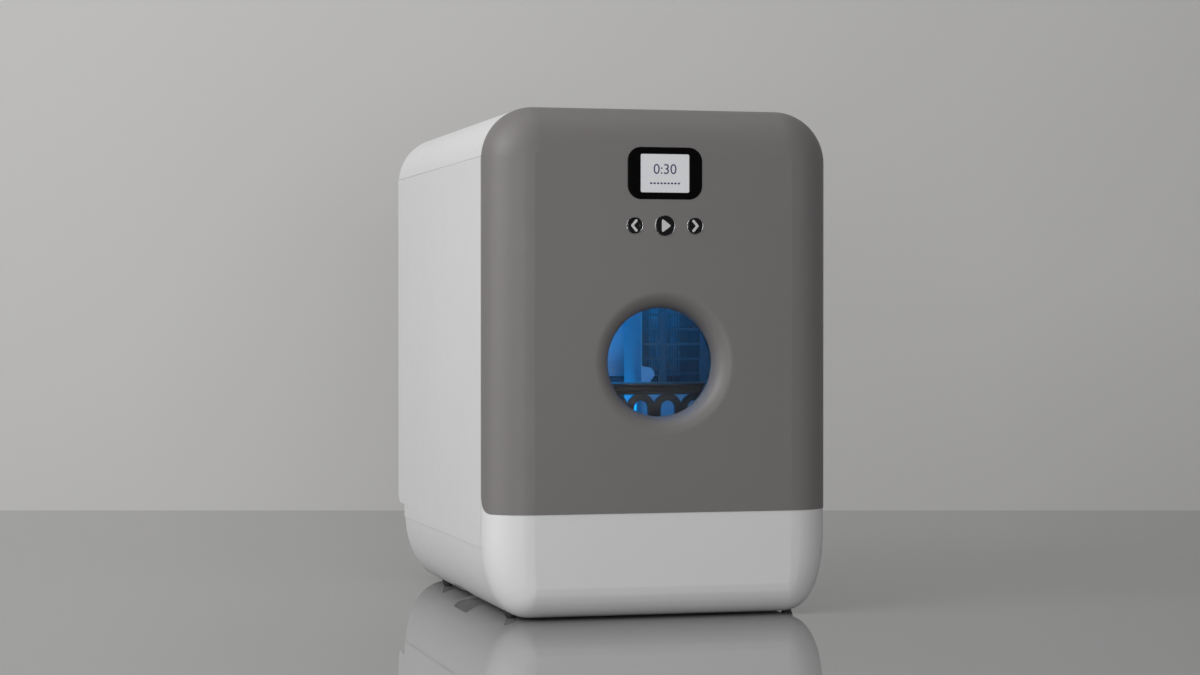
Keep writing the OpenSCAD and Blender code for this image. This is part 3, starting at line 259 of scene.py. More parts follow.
class Form:
    """A mesh in the making, which starts empty or as a CAD node with welded faces"""

    def __init__(self, node=None):
        self.mesh = bmesh.new()
        if node:
            self.mesh.from_mesh(frame["nodes"][node].data)
            bmesh.ops.remove_doubles(self.mesh, verts=self.mesh.verts, dist=4e-6)

    def ring(self, points):
        return [self.mesh.verts.new(p) for p in points]

    def skin(self, rings, closed=True):
        """Joins neighbouring rings of points by quads"""
        rows = [self.ring(points) for points in rings]
        count = len(rows[0])
        for a, b in zip(rows, rows[1:]):
            for i in range(count if closed else count - 1):
                j = (i + 1) % count
                self.mesh.faces.new((a[i], a[j], b[j], b[i]))
        return self

    def cap(self, outer, holes=()):
        """Flat face with holes"""
        loops = [list(outer)] + [list(h) for h in holes]
        verts = [self.mesh.verts.new(p) for loop in loops for p in loop]
        for tri in tessellate_polygon(loops):
            if len(set(tri)) == 3:
                self.mesh.faces.new([verts[i] for i in tri])
        return self

    def face(self, points):
        self.mesh.faces.new(self.ring(points))

    def block(self, low, high):
        (x0, y0, z0), (x1, y1, z1) = low, high
        v = self.ring([(x, y, z) for z in (z0, z1)
                       for x, y in ((x0, y0), (x1, y0), (x1, y1), (x0, y1))])
        for f in ((3, 2, 1, 0), (4, 5, 6, 7), (0, 1, 5, 4), (1, 2, 6, 5), (2, 3, 7, 6),
                  (3, 0, 4, 7)):
            self.mesh.faces.new([v[i] for i in f])
        return self

    def prism(self, points, low, high, axis="Y", holes=()):
        """Outline drawn in the plane square to the axis, stretched from low to high"""
        place = {"X": lambda p, d: Vector((d, *p)), "Y": lambda p, d: Vector((p[0], d, p[1])),
                 "Z": lambda p, d: Vector((*p, d))}[axis]
        for loop in [points] + list(holes):
            self.skin([[place(p, low) for p in loop], [place(p, high) for p in loop]])
        for d in (low, high):
            self.cap([place(p, d) for p in points], [[place(p, d) for p in h] for h in holes])
        return self

    def lathe(self, profile, x, z, steps):
        """Turns (radius, y) points about an axis along Y"""
        unit = circle(0, 0, 1, steps)
        self.skin([at_y([(x + r * c, z + r * s) for c, s in unit], y) for r, y in profile])
        return self

    def sweep(self, path, profile):
        """Carries a closed profile of (outward, height) points round a closed level path"""
        rings = []
        for i, p in enumerate(path):
            run = (Vector(path[(i + 1) % len(path)]) - Vector(path[i - 1])).normalized()
            rings.append([Vector((p[0] + run.y * o, p[1] - run.x * o, z)) for o, z in profile])
        self.skin(rings + rings[:1])

    def place(self, name):
        """New object of the mesh as it stands"""
        data = bpy.data.meshes.new(name)
        self.mesh.to_mesh(data)
        self.mesh.free()
        return placed(name, data)

    def object(self, name):
        """New object of the welded mesh, with its normals outward"""
        bmesh.ops.remove_doubles(self.mesh, verts=self.mesh.verts, dist=2e-6)
        bmesh.ops.dissolve_degenerate(self.mesh, dist=1e-7, edges=self.mesh.edges)
        bmesh.ops.recalc_face_normals(self.mesh, faces=self.mesh.faces)
        return self.place(name)


# Finishing


def baked(item):
    """Mesh of an object as its modifiers leave it"""
    graph = bpy.context.evaluated_depsgraph_get()
    return bpy.data.meshes.new_from_object(item.evaluated_get(graph), depsgraph=graph)


def settle(piece):
    """Turns what the modifiers make into the piece's plain mesh"""
    data = baked(piece)
    piece.modifiers.clear()
    old, piece.data = piece.data, data
    data.name = piece.name
    if old.users == 0:
        bpy.data.meshes.remove(old)


def thicken(piece, wall, back=1.0):
    """Gives an open skin a wall that grows inwards, up to a back plane, with level rims"""
    steepest, upright = 0.55, 0.7
    mesh = bmesh.new()
    mesh.from_mesh(piece.data)
    skin, rim = list(mesh.faces), [e for e in mesh.edges if e.is_boundary]
    inner = {}
    for vert in list(mesh.verts):
        lean = min(vert.normal.dot(face.normal) for face in vert.link_faces)
        step = vert.normal * (wall / max(lean, steepest))
        edges = [e.verts[0].co - e.verts[1].co for e in vert.link_edges if e.is_boundary]
        for axis in (1, 2):
            level = edges and all(abs(e[axis]) < 1e-5 for e in edges)
            if level and abs(vert.normal[axis]) < upright:
                step[axis] = 0
        spot = vert.co - step
        inner[vert] = mesh.verts.new((spot.x, min(spot.y, back), spot.z))
    for edge in rim:
        a, b = edge.verts
        if edge.link_loops[0].vert is not a:
            a, b = b, a
        mesh.faces.new((b, a, inner[a], inner[b]))
    for face in skin:
        mesh.faces.new([inner[v] for v in reversed(face.verts)])
    bmesh.ops.recalc_face_normals(mesh, faces=mesh.faces)
    mesh.to_mesh(piece.data)
    mesh.free()


def carve(piece, *cutters, operation="DIFFERENCE", crossing=False):
    """Cuts forms out of a piece, whose own faces may cross one another, or keeps what they share"""
    for form in cutters:
        tool = form.object("cutter")
        cut = piece.modifiers.new("Cut", "BOOLEAN")
        cut.operation = operation
        cut.solver = "EXACT"
        cut.use_self = crossing
        cut.object = tool
        settle(piece)
        bpy.data.objects.remove(tool)


def soften(piece, width, angle=40, steps=2):
    """Rounds the sharp edges and shades the rest smooth"""
    if width > 0:
        bevel = piece.modifiers.new("Edges", "BEVEL")
        bevel.width = width
        bevel.segments = steps
        bevel.limit_method = "ANGLE"
        bevel.angle_limit = math.radians(angle)
        bevel.use_clamp_overlap = True
        settle(piece)
    piece.data.polygons.foreach_set("use_smooth", [True] * len(piece.data.polygons))
    piece.data.set_sharp_from_angle(angle=math.radians(angle))
    normals = piece.modifiers.new("Normals", "WEIGHTED_NORMAL")
    normals.keep_sharp = True
    normals.weight = 60
    settle(piece)


def dress(piece, look, body, *stands_for, slot=None):
    """Gives a finished piece its material and its body, and hides the CAD nodes it stands for"""
    slot = slot or look
    piece.data.materials.clear()
    piece.data.materials.append(finish_of(look))
    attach(piece, body)
    if stands_for:
        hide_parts(*stands_for)


def finish(piece, look, body, *stands_for, edge=0.0, angle=40, steps=2, slot=None):
    """Softens a piece and dresses it"""
    soften(piece, edge, angle, steps)
    dress(piece, look, body, *stands_for, slot=slot)


def recut(node, edge=0.0004, angle=38):
    """Copy of a CAD node with welded faces and softened edges"""
    form = Form(node)
    bmesh.ops.dissolve_limit(form.mesh, angle_limit=math.radians(0.3), verts=form.mesh.verts,
                             edges=form.mesh.edges)
    piece = form.place(node + "_piece")
    soften(piece, edge, angle)
    return piece


# Materials


class Shader:
    """Principled material with helpers for its procedural detail"""

    def __init__(self, name, **values):
        self.material = bpy.data.materials.new(name)
        self.material.use_nodes = True
        self.tree = self.material.node_tree
        self.tree.nodes.clear()
        self.surface = self.add("ShaderNodeBsdfPrincipled")
        self.output = self.add("ShaderNodeOutputMaterial")
        self.link(self.surface.outputs[0], self.output.inputs["Surface"])
        for key, value in values.items():
            self.surface.inputs[key.replace("_", " ")].default_value = value
        self.place = self.add("ShaderNodeTexCoord").outputs["Object"]

    def add(self, kind, sockets=(), **settings):
        made = self.tree.nodes.new(kind)
        for key, value in settings.items():
            setattr(made, key, value)
        for key, value in dict(sockets).items():
            made.inputs[key].default_value = value
        return made

    def link(self, source, target):
        self.tree.links.new(source, target)

    def stretched(self, scale):
        mapping = self.add("ShaderNodeMapping", {"Scale": scale})
        self.link(self.place, mapping.inputs["Vector"])
        return mapping.outputs[0]

    def noise(self, scale, detail=2.0, roughness=0.5, where=None):
        made = self.add("ShaderNodeTexNoise",
                        {"Scale": scale, "Detail": detail, "Roughness": roughness})
        self.link(where or self.place, made.inputs["Vector"])
        return made.outputs["Fac"]

    def spread(self, source, low, high, start=0.3, stop=0.7):
        made = self.add("ShaderNodeMapRange", {1: start, 2: stop, 3: low, 4: high})
        self.link(source, made.inputs[0])
        return made.outputs[0]

    def shades(self, source, dark, light):
        first, second, result = 6, 7, 2  # the mix node's sockets for colours
        made = self.add("ShaderNodeMix", {first: (*dark, 1), second: (*light, 1)}, data_type="RGBA")
        self.link(source, made.inputs[0])
        self.link(made.outputs[result], self.surface.inputs["Base Color"])

    def gloss(self, source, low, high):
        self.link(self.spread(source, low, high), self.surface.inputs["Roughness"])

    def relief(self, source, strength, distance):
        made = self.add("ShaderNodeBump", {"Strength": strength, "Distance": distance})
        self.link(source, made.inputs["Height"])
        self.link(made.outputs[0], self.surface.inputs["Normal"])


def tone(rgb, factor):
    return tuple(min(1.0, c * factor) for c in rgb)


def moulded(name, rgb, rough, grain, bump, cloud, shift):
    """Moulded plastic: a fine spark texture, with slow changes of gloss and shade"""
    mat = Shader(name)
    slow = mat.spread(mat.noise(cloud, 3.0), 0.0, 1.0)
    mat.shades(slow, tone(rgb, 1 - shift), tone(rgb, 1 + shift))
    mat.gloss(mat.noise(cloud * 6, 4.0, 0.6), *rough)
    mat.relief(mat.noise(grain, 3.0, 0.6), bump, 0.00008)
    return mat.material


def brushed(name, rgb, rough=(0.2, 0.35), along=(30.0, 30.0, 1400.0)):
    """Sheet metal with fine lines across one direction"""
    mat = Shader(name, Metallic=1.0)
    lines = mat.noise(1.0, 3.0, 0.6, mat.stretched(along))
    mat.shades(lines, tone(rgb, 0.9), tone(rgb, 1.06))
    mat.gloss(lines, *rough)
    mat.relief(lines, 0.06, 0.00005)
    return mat.material


def glossy(name, rgb, rough, sheen):
    """Gloss plastic with the faint waviness of a moulded face"""
    mat = Shader(name, Specular_IOR_Level=sheen)
    wave = mat.noise(45.0, 1.0, 0.4)
    mat.shades(wave, tone(rgb, 0.92), tone(rgb, 1.08))
    mat.gloss(mat.noise(300.0, 4.0, 0.6), rough * 0.7, rough * 1.5)
    mat.relief(wave, 0.02, 0.0004)
    return mat.material


def lit(name, rgb, strength, body):
    """Diffuser lit from behind"""
    mat = Shader(name, Emission_Strength=strength, Emission_Color=(*rgb, 1))
    mat.shades(mat.noise(60.0), tone(body, 0.96), body)
    mat.gloss(mat.noise(500.0), 0.2, 0.3)
    return mat.material


def circuit_board():
    mat = Shader("Circuit board")
    copper = mat.spread(mat.noise(260.0, 4.0, 0.7), 0.0, 1.0, 0.45, 0.55)
    mat.shades(copper, (0.012, 0.075, 0.035), (0.03, 0.14, 0.06))
    mat.gloss(mat.noise(500.0, 3.0), 0.25, 0.45)
    mat.relief(mat.noise(400.0, 3.0), 0.3, 0.0002)
    return mat.material


def clear_pane():
    mat = Shader("Clear pane", Transmission_Weight=1.0, IOR=1.25)
    mat.shades(mat.noise(30.0), (0.96, 0.98, 1.0), (1.0, 1.0, 1.0))
    mat.gloss(mat.noise(120.0, 4.0, 0.6), 0.0, 0.03)
    return mat.material


# Moulded plastics: colour, range of roughness, grain, bump, cloud and shift of shade
MOULDED = {
    "casing": ("Casing plastic", "casing_colour", (0.40, 0.50), 1900.0, 0.10, 5.0, 0.012),
    "door": ("Door plastic", "door_colour", (0.46, 0.54), 1500.0, 0.16, 6.0, 0.02),
    "inner_plastic": ("Inner door plastic", (0.50, 0.51, 0.52), (0.35, 0.45), 900.0, 0.08, 12.0,
                      0.02),
    "tub": ("Tub plastic", (0.50, 0.53, 0.56), (0.25, 0.36), 500.0, 0.05, 14.0, 0.03),
    "basket": ("Basket plastic", (0.023, 0.025, 0.028), (0.35, 0.48), 1100.0, 0.2, 20.0, 0.06),
    "wire": ("Grey plastic", (0.10, 0.105, 0.11), (0.4, 0.5), 1200.0, 0.2, 20.0, 0.08),
    "dark_plastic": ("Black plastic", (0.022, 0.023, 0.025), (0.38, 0.5), 1200.0, 0.2, 20.0, 0.08),
    "rubber": ("Rubber", (0.016, 0.016, 0.017), (0.6, 0.75), 2200.0, 0.35, 25.0, 0.1),
    "tank": ("Tank plastic", (0.62, 0.66, 0.68), (0.2, 0.3), 300.0, 0.05, 16.0, 0.03),
    "impeller": ("Impeller plastic", (0.55, 0.55, 0.53), (0.3, 0.4), 900.0, 0.1, 20.0, 0.03),
    "float": ("Float foam", (0.80, 0.42, 0.08), (0.5, 0.6), 700.0, 0.4, 30.0, 0.06),
    "icon": ("Icon print", (0.52, 0.52, 0.52), (0.3, 0.4), 1500.0, 0.05, 30.0, 0.02),
    "ink": ("Screen ink", (0.02, 0.02, 0.10), (0.3, 0.4), 1500.0, 0.02, 30.0, 0.02),
}
MATERIALS = {}


def make_materials(casing):
    for key, (name, rgb, *texture) in MOULDED.items():
        rgb = getattr(casing, rgb) if isinstance(rgb, str) else rgb
        MATERIALS[key] = moulded(name, rgb, *texture)
    MATERIALS.update({
        "bezel": glossy("Bezel gloss", (0.002, 0.002, 0.0024), 0.10, 0.05),
        "button": glossy("Button gloss", (0.003, 0.003, 0.004), 0.05, 0.35),
        "screen": lit("Screen", (0.93, 0.95, 1.0), 0.20, (0.45, 0.45, 0.46)),
        "light": lit("Blue light", (0.02, 0.30, 1.0), 9.0, (0.2, 0.4, 0.8)),
        "rim": brushed("Button rim metal", (0.50, 0.50, 0.51), (0.05, 0.10), (900.0, 900.0, 900.0)),
        "steel": brushed("Zinc-plated steel", (0.62, 0.62, 0.63)),
        "brass": brushed("Bush bronze", (0.60, 0.42, 0.20)),
        "board": circuit_board(),
        "pane": clear_pane(),
    })


def finish_of(look):
    if not MATERIALS:
        make_materials(bpy.context.scene.casing_sizes)
    return MATERIALS[look]


# Outer shells


def upper_inset(s, y):
    return inset(y - FRONT, s.front_side, s.front_depth)


def heel_height(s, y, radius):
    """Height of the curve under the door's lower rear corner"""
    centre_y, centre_z = DOOR_BACK - s.heel, DOOR_LOW.z + s.heel
    if y <= centre_y:
        return centre_z - radius
    return centre_z - math.sqrt(max(0.0, radius ** 2 - (y - centre_y) ** 2))


def door_ring(s, y, extra=0.0):
    """Section of the door at one depth, drawn in by extra"""
    e = upper_inset(s, y) + extra
    r = max(s.top_radius - e, 0.002)
    cx, cz = HALF_W - s.top_radius, DOOR_HIGH.z - s.top_radius
    left, low = -(HALF_W - e), DOOR_LOW.z + extra
    edge = HALF_W
    if y > PIVOT.y:
        edge = PIVOT.x + math.sqrt(max(0.0, CURL ** 2 - (y - PIVOT.y) ** 2))
    heel = heel_height(s, y, s.heel) + extra
    step = max(-HALF_W + HEEL_W, left)
    top = DOOR_LOW.z + s.heel
    arc = [(r * math.cos(a), r * math.sin(a)) for a in angles(90 / 14, 15)]
    points = [(left, heel), (left, top)] + [(-cx - c, cz + d) for c, d in arc]
    points += [(cx + d, cz + c) for c, d in arc]
    points += [(HALF_W - e, top), (HALF_W - e, low), (step, low), (step, heel)]
    return at_y([(min(x, edge), z) for x, z in points], y)


def hinge_heights():
    centre, end = (PINS_LOW.z + PINS_HIGH.z) / 2, 0.020
    half = (PINS_HIGH.z - PINS_LOW.z) / 2 - end
    return (centre - half, centre + half)


def post(radius, low, high):
    """Profile of a plain post along Y"""
    return [(0, low), (radius, low), (radius, high), (0, high)]


class DISHWASHER_OT_door(bpy.types.Operator):
    """Make the door's shell with its window dish, knuckles and posts"""

    bl_idname = "dishwasher.door"
    bl_label = "Door"

    def execute(self, context):
        s, w = context.scene.casing_sizes, context.scene.window_sizes
        c = context.scene.control_sizes
        turns = [PIVOT.y + CURL * math.sin(a) for a in angles(15, 7)]
        stations = merged(rounding(FRONT, s.front_depth, 18), turns,
                          rounding(DOOR_BACK, -s.heel, 9), [DOOR_BACK])
        rings = [door_ring(s, y) for y in reversed(stations) if y > FRONT + TINY]
        rings += [door_ring(s, FRONT), door_ring(s, FRONT, RING)]
        form = Form().skin(rings)
        # Lower band of the door's back, below the inner door
        form.face(rings[0][-4:])
        lip, flare = w.lip + RING, 0.0005
        buttons = [(i * c.pitch, (c.side_rim if i else c.start_rim) + GAP) for i in (-1, 0, 1)]
        holes = [at_y(circle(0, WINDOW_Z, lip, 112), FRONT)]
        holes += [at_y(circle(x, BUTTON_Z, r + flare, 48), FRONT) for x, r in buttons]
        form.cap(rings[-1], holes)
        dish = [(w.lip - (w.lip - w.throat) * math.sin(a), FRONT + w.depth * (1 - math.cos(a)))
                for a in angles(5, 19, 1)]
        form.lathe([(lip, FRONT), (w.lip, FRONT)] + dish + [(w.opening, FRONT + w.seat)],
                   0, WINDOW_Z, 112)
        for x, r in buttons:
            form.lathe([(r + flare, FRONT), (r, FRONT)], x, BUTTON_Z, 48)
        door = form.object("door_shell")
        thicken(door, s.wall)
        fit = 0.0002
        bezel = rounded(middle("display_bezel", 0), DISPLAY_Z, BEZEL_W + 2 * fit,
                        BEZEL_H + 2 * fit, c.bezel_radius + fit, 12)
        carve(door, Form().prism(bezel, FRONT - OVER, FRONT + s.wall + OVER))
        slots = []
        for z in hinge_heights():
            for x, y, end in ((-0.0095, -0.007, PIVOT.x + 0.006), (0.002, 0.0005, HALF_W + OVER)):
                slots.append(Form().block((PIVOT.x + x, PIVOT.y + y, z - ARM),
                                          (end, DOOR_BACK + OVER, z + ARM)))
        carve(door, *slots, crossing=True)
        finish(door, "door", "door", "door_panel", edge=s.edge, angle=35)

        # Knuckles, and posts for the control board and for the screws of the inner door
        blocks = Form()
        tall, bore, curl = 0.018, 0.00405, CURL - 0.0008
        left, front = PIVOT.x - 0.007, PIVOT.y - 0.008
        outline = [(left, front)]
        outline += [(HALF_W - upper_inset(s, y) - 0.001, y)
                    for y in (front, PIVOT.y - 0.004, PIVOT.y)]
        outline += quarter(PIVOT.x, PIVOT.y, curl, curl, 6, 10, turn=84)
        outline += [(left, PIVOT.y + curl)]
        for z in hinge_heights():
            for low in (z - ARM - tall, z + ARM):
                blocks.prism(outline, low, low + tall, "Z", [circle(PIVOT.x, PIVOT.y, bore, 40)])
        board = post(0.0035, FRONT + 0.0025, FRONT + 0.013)
        for x in (-0.044, 0.044):
            for z in (BUTTON_Z - 0.016, DISPLAY_Z - 0.034):
                blocks.lathe(board, x, z, 32)
        end, bore = DOOR_BACK - 0.003, 0.0015
        screw = post(0.004, FRONT + 0.012, end)[:3]
        screw += [(bore, end), (bore, DOOR_BACK - 0.02), (0, DOOR_BACK - 0.02)]
        for x in (-HALF_W + 0.022, HALF_W - 0.040):
            for z in (DOOR_LOW.z + 0.0418, COVER_LOW.z - 0.0202):
                blocks.lathe(screw, x, z, 32)
        finish(blocks.object("door_knuckles"), "door", "door", "door_panel", edge=0.0004)
        return {"FINISHED"}


def base_section(s, y, rear=False, extra=0.0):
    """Half width, low edge and corner radii of the base at one depth"""
    if rear:
        depth = TRAY_HIGH.y - y
        side, low = inset(depth, s.base_plan, s.base_plan), inset(depth, s.base_rear, s.base_rear)
    else:
        depth = y - FASCIA_LOW.y
        side = inset(depth, s.front_side, s.front_depth)
        low = inset(depth, s.base_front, s.base_front)
    side, low = side + extra, low + extra
    return FASCIA_HIGH.x - side, FASCIA_LOW.z + low, s.base_width - side, s.base_height - low


def base_corners(s, half, low, rx, rz, start=0.0):
    """Lower outline of the base from its left side, along the bottom, to its right side"""
    left = quarter(rx - half, low + rz, rx, rz, 180 + start, 20, s.base_soft, 90 - start)
    return left + [(-x, z) for x, z in reversed(left)]


class DISHWASHER_OT_fascia(bpy.types.Operator):
    """Make the light front under the door"""

    bl_idname = "dishwasher.fascia"
    bl_label = "Front fascia"

    def execute(self, context):
        s = context.scene.casing_sizes
        top, radius = DOOR_LOW.z - s.seam, s.heel + s.seam
        front = FASCIA_LOW.y

        def ring(y, extra=0.0):
            half, low, rx, rz = base_section(s, y, extra=extra)
            horn = max(top, heel_height(s, y, radius)) - extra
            step = max(-HALF_W + HORN_W, -half)
            shoulder = top - 0.002
            points = [(-half, horn), (-half, shoulder)] + base_corners(s, half, low, rx, rz)
            points += [(half, shoulder), (half, top - extra), (step, top - extra), (step, horn)]
            return at_y(points, y)

        heel = [DOOR_BACK - s.heel + radius * math.sin(a) for a in angles(8, 10)]
        stations = merged(rounding(front, s.front_depth, 18), rounding(front, s.base_front, 15),
                          [y for y in heel if y < DOOR_BACK], [DOOR_BACK])
        rings = [ring(y) for y in reversed(stations) if front + TINY < y <= DOOR_BACK + TINY]
        rings += [ring(front), ring(front, RING)]
        piece = Form().skin(rings).cap(rings[-1]).object("front_fascia_shell")
        thicken(piece, s.wall, DOOR_BACK)
        finish(piece, "casing", "cabinet", "front_fascia", edge=s.edge, angle=35)
        return {"FINISHED"}


class DISHWASHER_OT_top_cover(bpy.types.Operator):
    """Make the top cover with the opening of the filler lid, and the lid"""

    bl_idname = "dishwasher.top_cover"
    bl_label = "Top cover and lid"

    def execute(self, context):
        s = context.scene.casing_sizes
        back, top = COVER_HIGH.y, COVER_HIGH.z
        cx, cz = HALF_W - s.top_radius, top - s.top_radius

        def ring(y, extra=0.0):
            k = s.top_radius - inset(back - y, s.rear_radius, s.rear_radius) - extra
            start = math.asin((COVER_LOW.z - cz) / k)
            turns = (start + (math.pi / 2 - start) * i / 16 for i in range(17))
            arc = [(cx + k * math.cos(a), cz + k * math.sin(a)) for a in turns]
            return at_y([(-x, z) for x, z in arc] + arc[::-1], y)

        stations = [COVER_LOW.y, COVER_LOW.y + 0.002] + rounding(back, -s.rear_radius, 6)
        rings = [ring(y) for y in stations] + [ring(back, 0.0006)]
        cover = Form().skin(rings, closed=False).cap(rings[-1]).object("top_cover_shell")
        thicken(cover, s.wall)

        # Opening for the lid, scoop for a fingertip and groove for the lid's pins
        pin, barrel, pin_l, fit = 0.002, 0.0038, 0.006, 0.0005
        pin_y, pin_z = LID_HIGH.y - 0.0039, top - 0.004
        lid_x, lid_y = middle("tank_lid", 0), middle("tank_lid", 1)
        lid_w, lid_d = LID_HIGH.x - LID_LOW.x - 2 * pin_l, LID_HIGH.y - LID_LOW.y
        opening = rounded(lid_x, lid_y, lid_w + 2 * fit, lid_d + 0.0009, 0.0012, 4)
        ball = 0.012
        scoop = Form().lathe([(ball * math.sin(a), ball * math.cos(a)) for a in angles(6, 31)],
                             0, 0, 48)
        bmesh.ops.translate(scoop.mesh, verts=scoop.mesh.verts,
                            vec=(lid_x, LID_LOW.y, top + ball / 2))
        groove = Form().prism(circle(pin_y, pin_z, pin + 0.0003, 40),
                              LID_LOW.x - OVER, LID_HIGH.x + OVER, "X")
        carve(cover, Form().prism(opening, top - 0.02, top + OVER, "Z"), scoop, groove)
        finish(cover, "casing", "cabinet", "top_cover", edge=s.edge, angle=35)

        bosses = Form()
        for x in (LID_LOW.x - 0.0025, LID_HIGH.x - 0.0055):
            bosses.block((x, pin_y - 0.006, top - 0.010), (x + 0.008, pin_y + 0.006, top - 0.0062))
        finish(bosses.object("lid_bosses"), "casing", "cabinet", "top_cover", edge=0.0004)

        plate = rounded(lid_x, (LID_LOW.y + pin_y) / 2, lid_w, pin_y - LID_LOW.y, 0.0014, 4)
        lid = Form().prism(plate, top - s.wall, top - 0.00005, "Z").object("filler_lid")
        finish(lid, "casing", "tank_lid", "tank_lid", edge=0.0006, angle=35, steps=3)
        rods = Form()
        for r, half in ((barrel, lid_w / 2), (pin, lid_w / 2 + pin_l)):
            rods.prism(circle(pin_y, pin_z, r, 40), lid_x - half, lid_x + half, "X")
        finish(rods.object("filler_lid_barrel"), "casing", "tank_lid", "tank_lid", edge=0.0004)
        return {"FINISHED"}


class DISHWASHER_OT_base_tray(bpy.types.Operator):
    """Make the base with its grip pockets and the openings for the hoses"""

    bl_idname = "dishwasher.base_tray"
    bl_label = "Base tray"

    def execute(self, context):
        s = context.scene.casing_sizes
        seam_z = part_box("side_panel_left")[0].z - s.seam
        back = TRAY_HIGH.y
        port_z = middle("drain_spigot", 2)

        def ring(y, extra=0.0):
            half, low, rx, rz = base_section(s, y, rear=True, extra=extra)
            rise = min(1.0, max(0.0, (low + rz - seam_z) / rz))
            start = math.degrees(math.asin(rise ** (s.base_soft / 2)))
            return at_y(base_corners(s, half, low, rx, rz, start), y)

        stations = merged([TRAY_LOW.y, TRAY_LOW.y + 0.002], rounding(back, -s.base_rear, 18),
                          rounding(back, -s.base_plan, 12))
        rings = [ring(y) for y in stations]
        tab = [Vector((end.x, back, TRAY_HIGH.z)) for end in (rings[-1][-1], rings[-1][0])]
        holes = [circle(middle("drain_spigot", 0), port_z, 0.0098, 48),
                 circle(middle("inlet_valve", 0), port_z, 0.0135, 56),
                 rounded(0, port_z, 0.0286, 0.0206, 0.001, 3)]
        form = Form().skin(rings, closed=False)
        form.cap(rings[-1] + tab, [at_y(hole, back) for hole in holes])
        tray = form.object("base_tray_shell")
        thicken(tray, s.wall)

        # Pockets that fingers reach into from below, each with walls and a roof of its own
        grip_x, grip_y, wide, deep, corner = 0.129, -0.005, 0.042, 0.072, 0.006
        low, roof = 0.0062, 0.027
        pockets, liners = [], Form()
        for x in (-grip_x, grip_x):
            inner = rounded(x, grip_y, wide, deep, corner, 6)
            outer = rounded(x, grip_y, wide + 2 * s.wall, deep + 2 * s.wall, corner + s.wall, 6)
            pockets.append(Form().prism(inner, -0.01, roof, "Z"))
            for loop, top in ((outer, roof + s.wall), (inner, roof)):
                liners.skin([at_z(loop, low), at_z(loop, top)])
                liners.cap(at_z(loop, top))
            liners.cap(at_z(outer, low), [at_z(inner, low)])
        carve(tray, *pockets)
        finish(tray, "casing", "cabinet", "base_tray", edge=s.edge, angle=35)
        inside = [ring(y, 0.0006) for y in stations]
        hull = Form().skin(inside).cap(inside[0]).cap(inside[-1])
        pocket = liners.object("grip_pockets")
        carve(pocket, hull, operation="INTERSECT")
        finish(pocket, "casing", "cabinet", "base_tray", edge=0.0004)
        return {"FINISHED"}


class DISHWASHER_OT_feet(bpy.types.Operator):
    """Make the tapered rubber feet"""

    bl_idname = "dishwasher.feet"
    bl_label = "Feet"

    def execute(self, context):
        low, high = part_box("feet")
        r = context.scene.casing_sizes.foot
        profile = [(0, 0), (r * 0.60, 0), (r * 0.66, 0.0004), (r * 0.72, 0.0014),
                   (r * 0.9, high.z * 0.5), (r * 0.9, high.z), (0, high.z)]
        form = Form()
        for x in (low.x + r, high.x - r):
            for y in (low.y + r, high.y - r):
                form.skin([at_z(circle(x, y, k, 40), z) for k, z in profile])
        finish(form.object("rubber_feet"), "rubber", "cabinet", "feet", angle=35)
        return {"FINISHED"}


class DISHWASHER_OT_panels(bpy.types.Operator):
    """Finish the side panels and the rear cover"""

    bl_idname = "dishwasher.panels"
    bl_label = "Side panels and rear cover"

    def execute(self, context):
        s = context.scene.casing_sizes
        for node in ("side_panel_left", "side_panel_right", "rear_cover"):
            dress(recut(node, s.edge, 30), "casing", "cabinet", node)
        return {"FINISHED"}


# Window and controls


class DISHWASHER_OT_window(bpy.types.Operator):
    """Make the clear pane and its retainer"""

    bl_idname = "dishwasher.window"
    bl_label = "Window"

    def execute(self, context):
        r, low, high, edge = PANE_HIGH.x, PANE_LOW.y, PANE_HIGH.y, 0.0004
        profile = [(0, low), (r - edge, low), (r, low + edge), (r, high - edge), (r - edge, high),
                   (0, high)]
        pane = Form().lathe(profile, 0, WINDOW_Z, 96).object("window_pane")
        finish(pane, "pane", "door", "window_lens", angle=30)
        dress(recut("window_ring", 0.0006), "dark_plastic", "door", "window_ring")
        return {"FINISHED"}


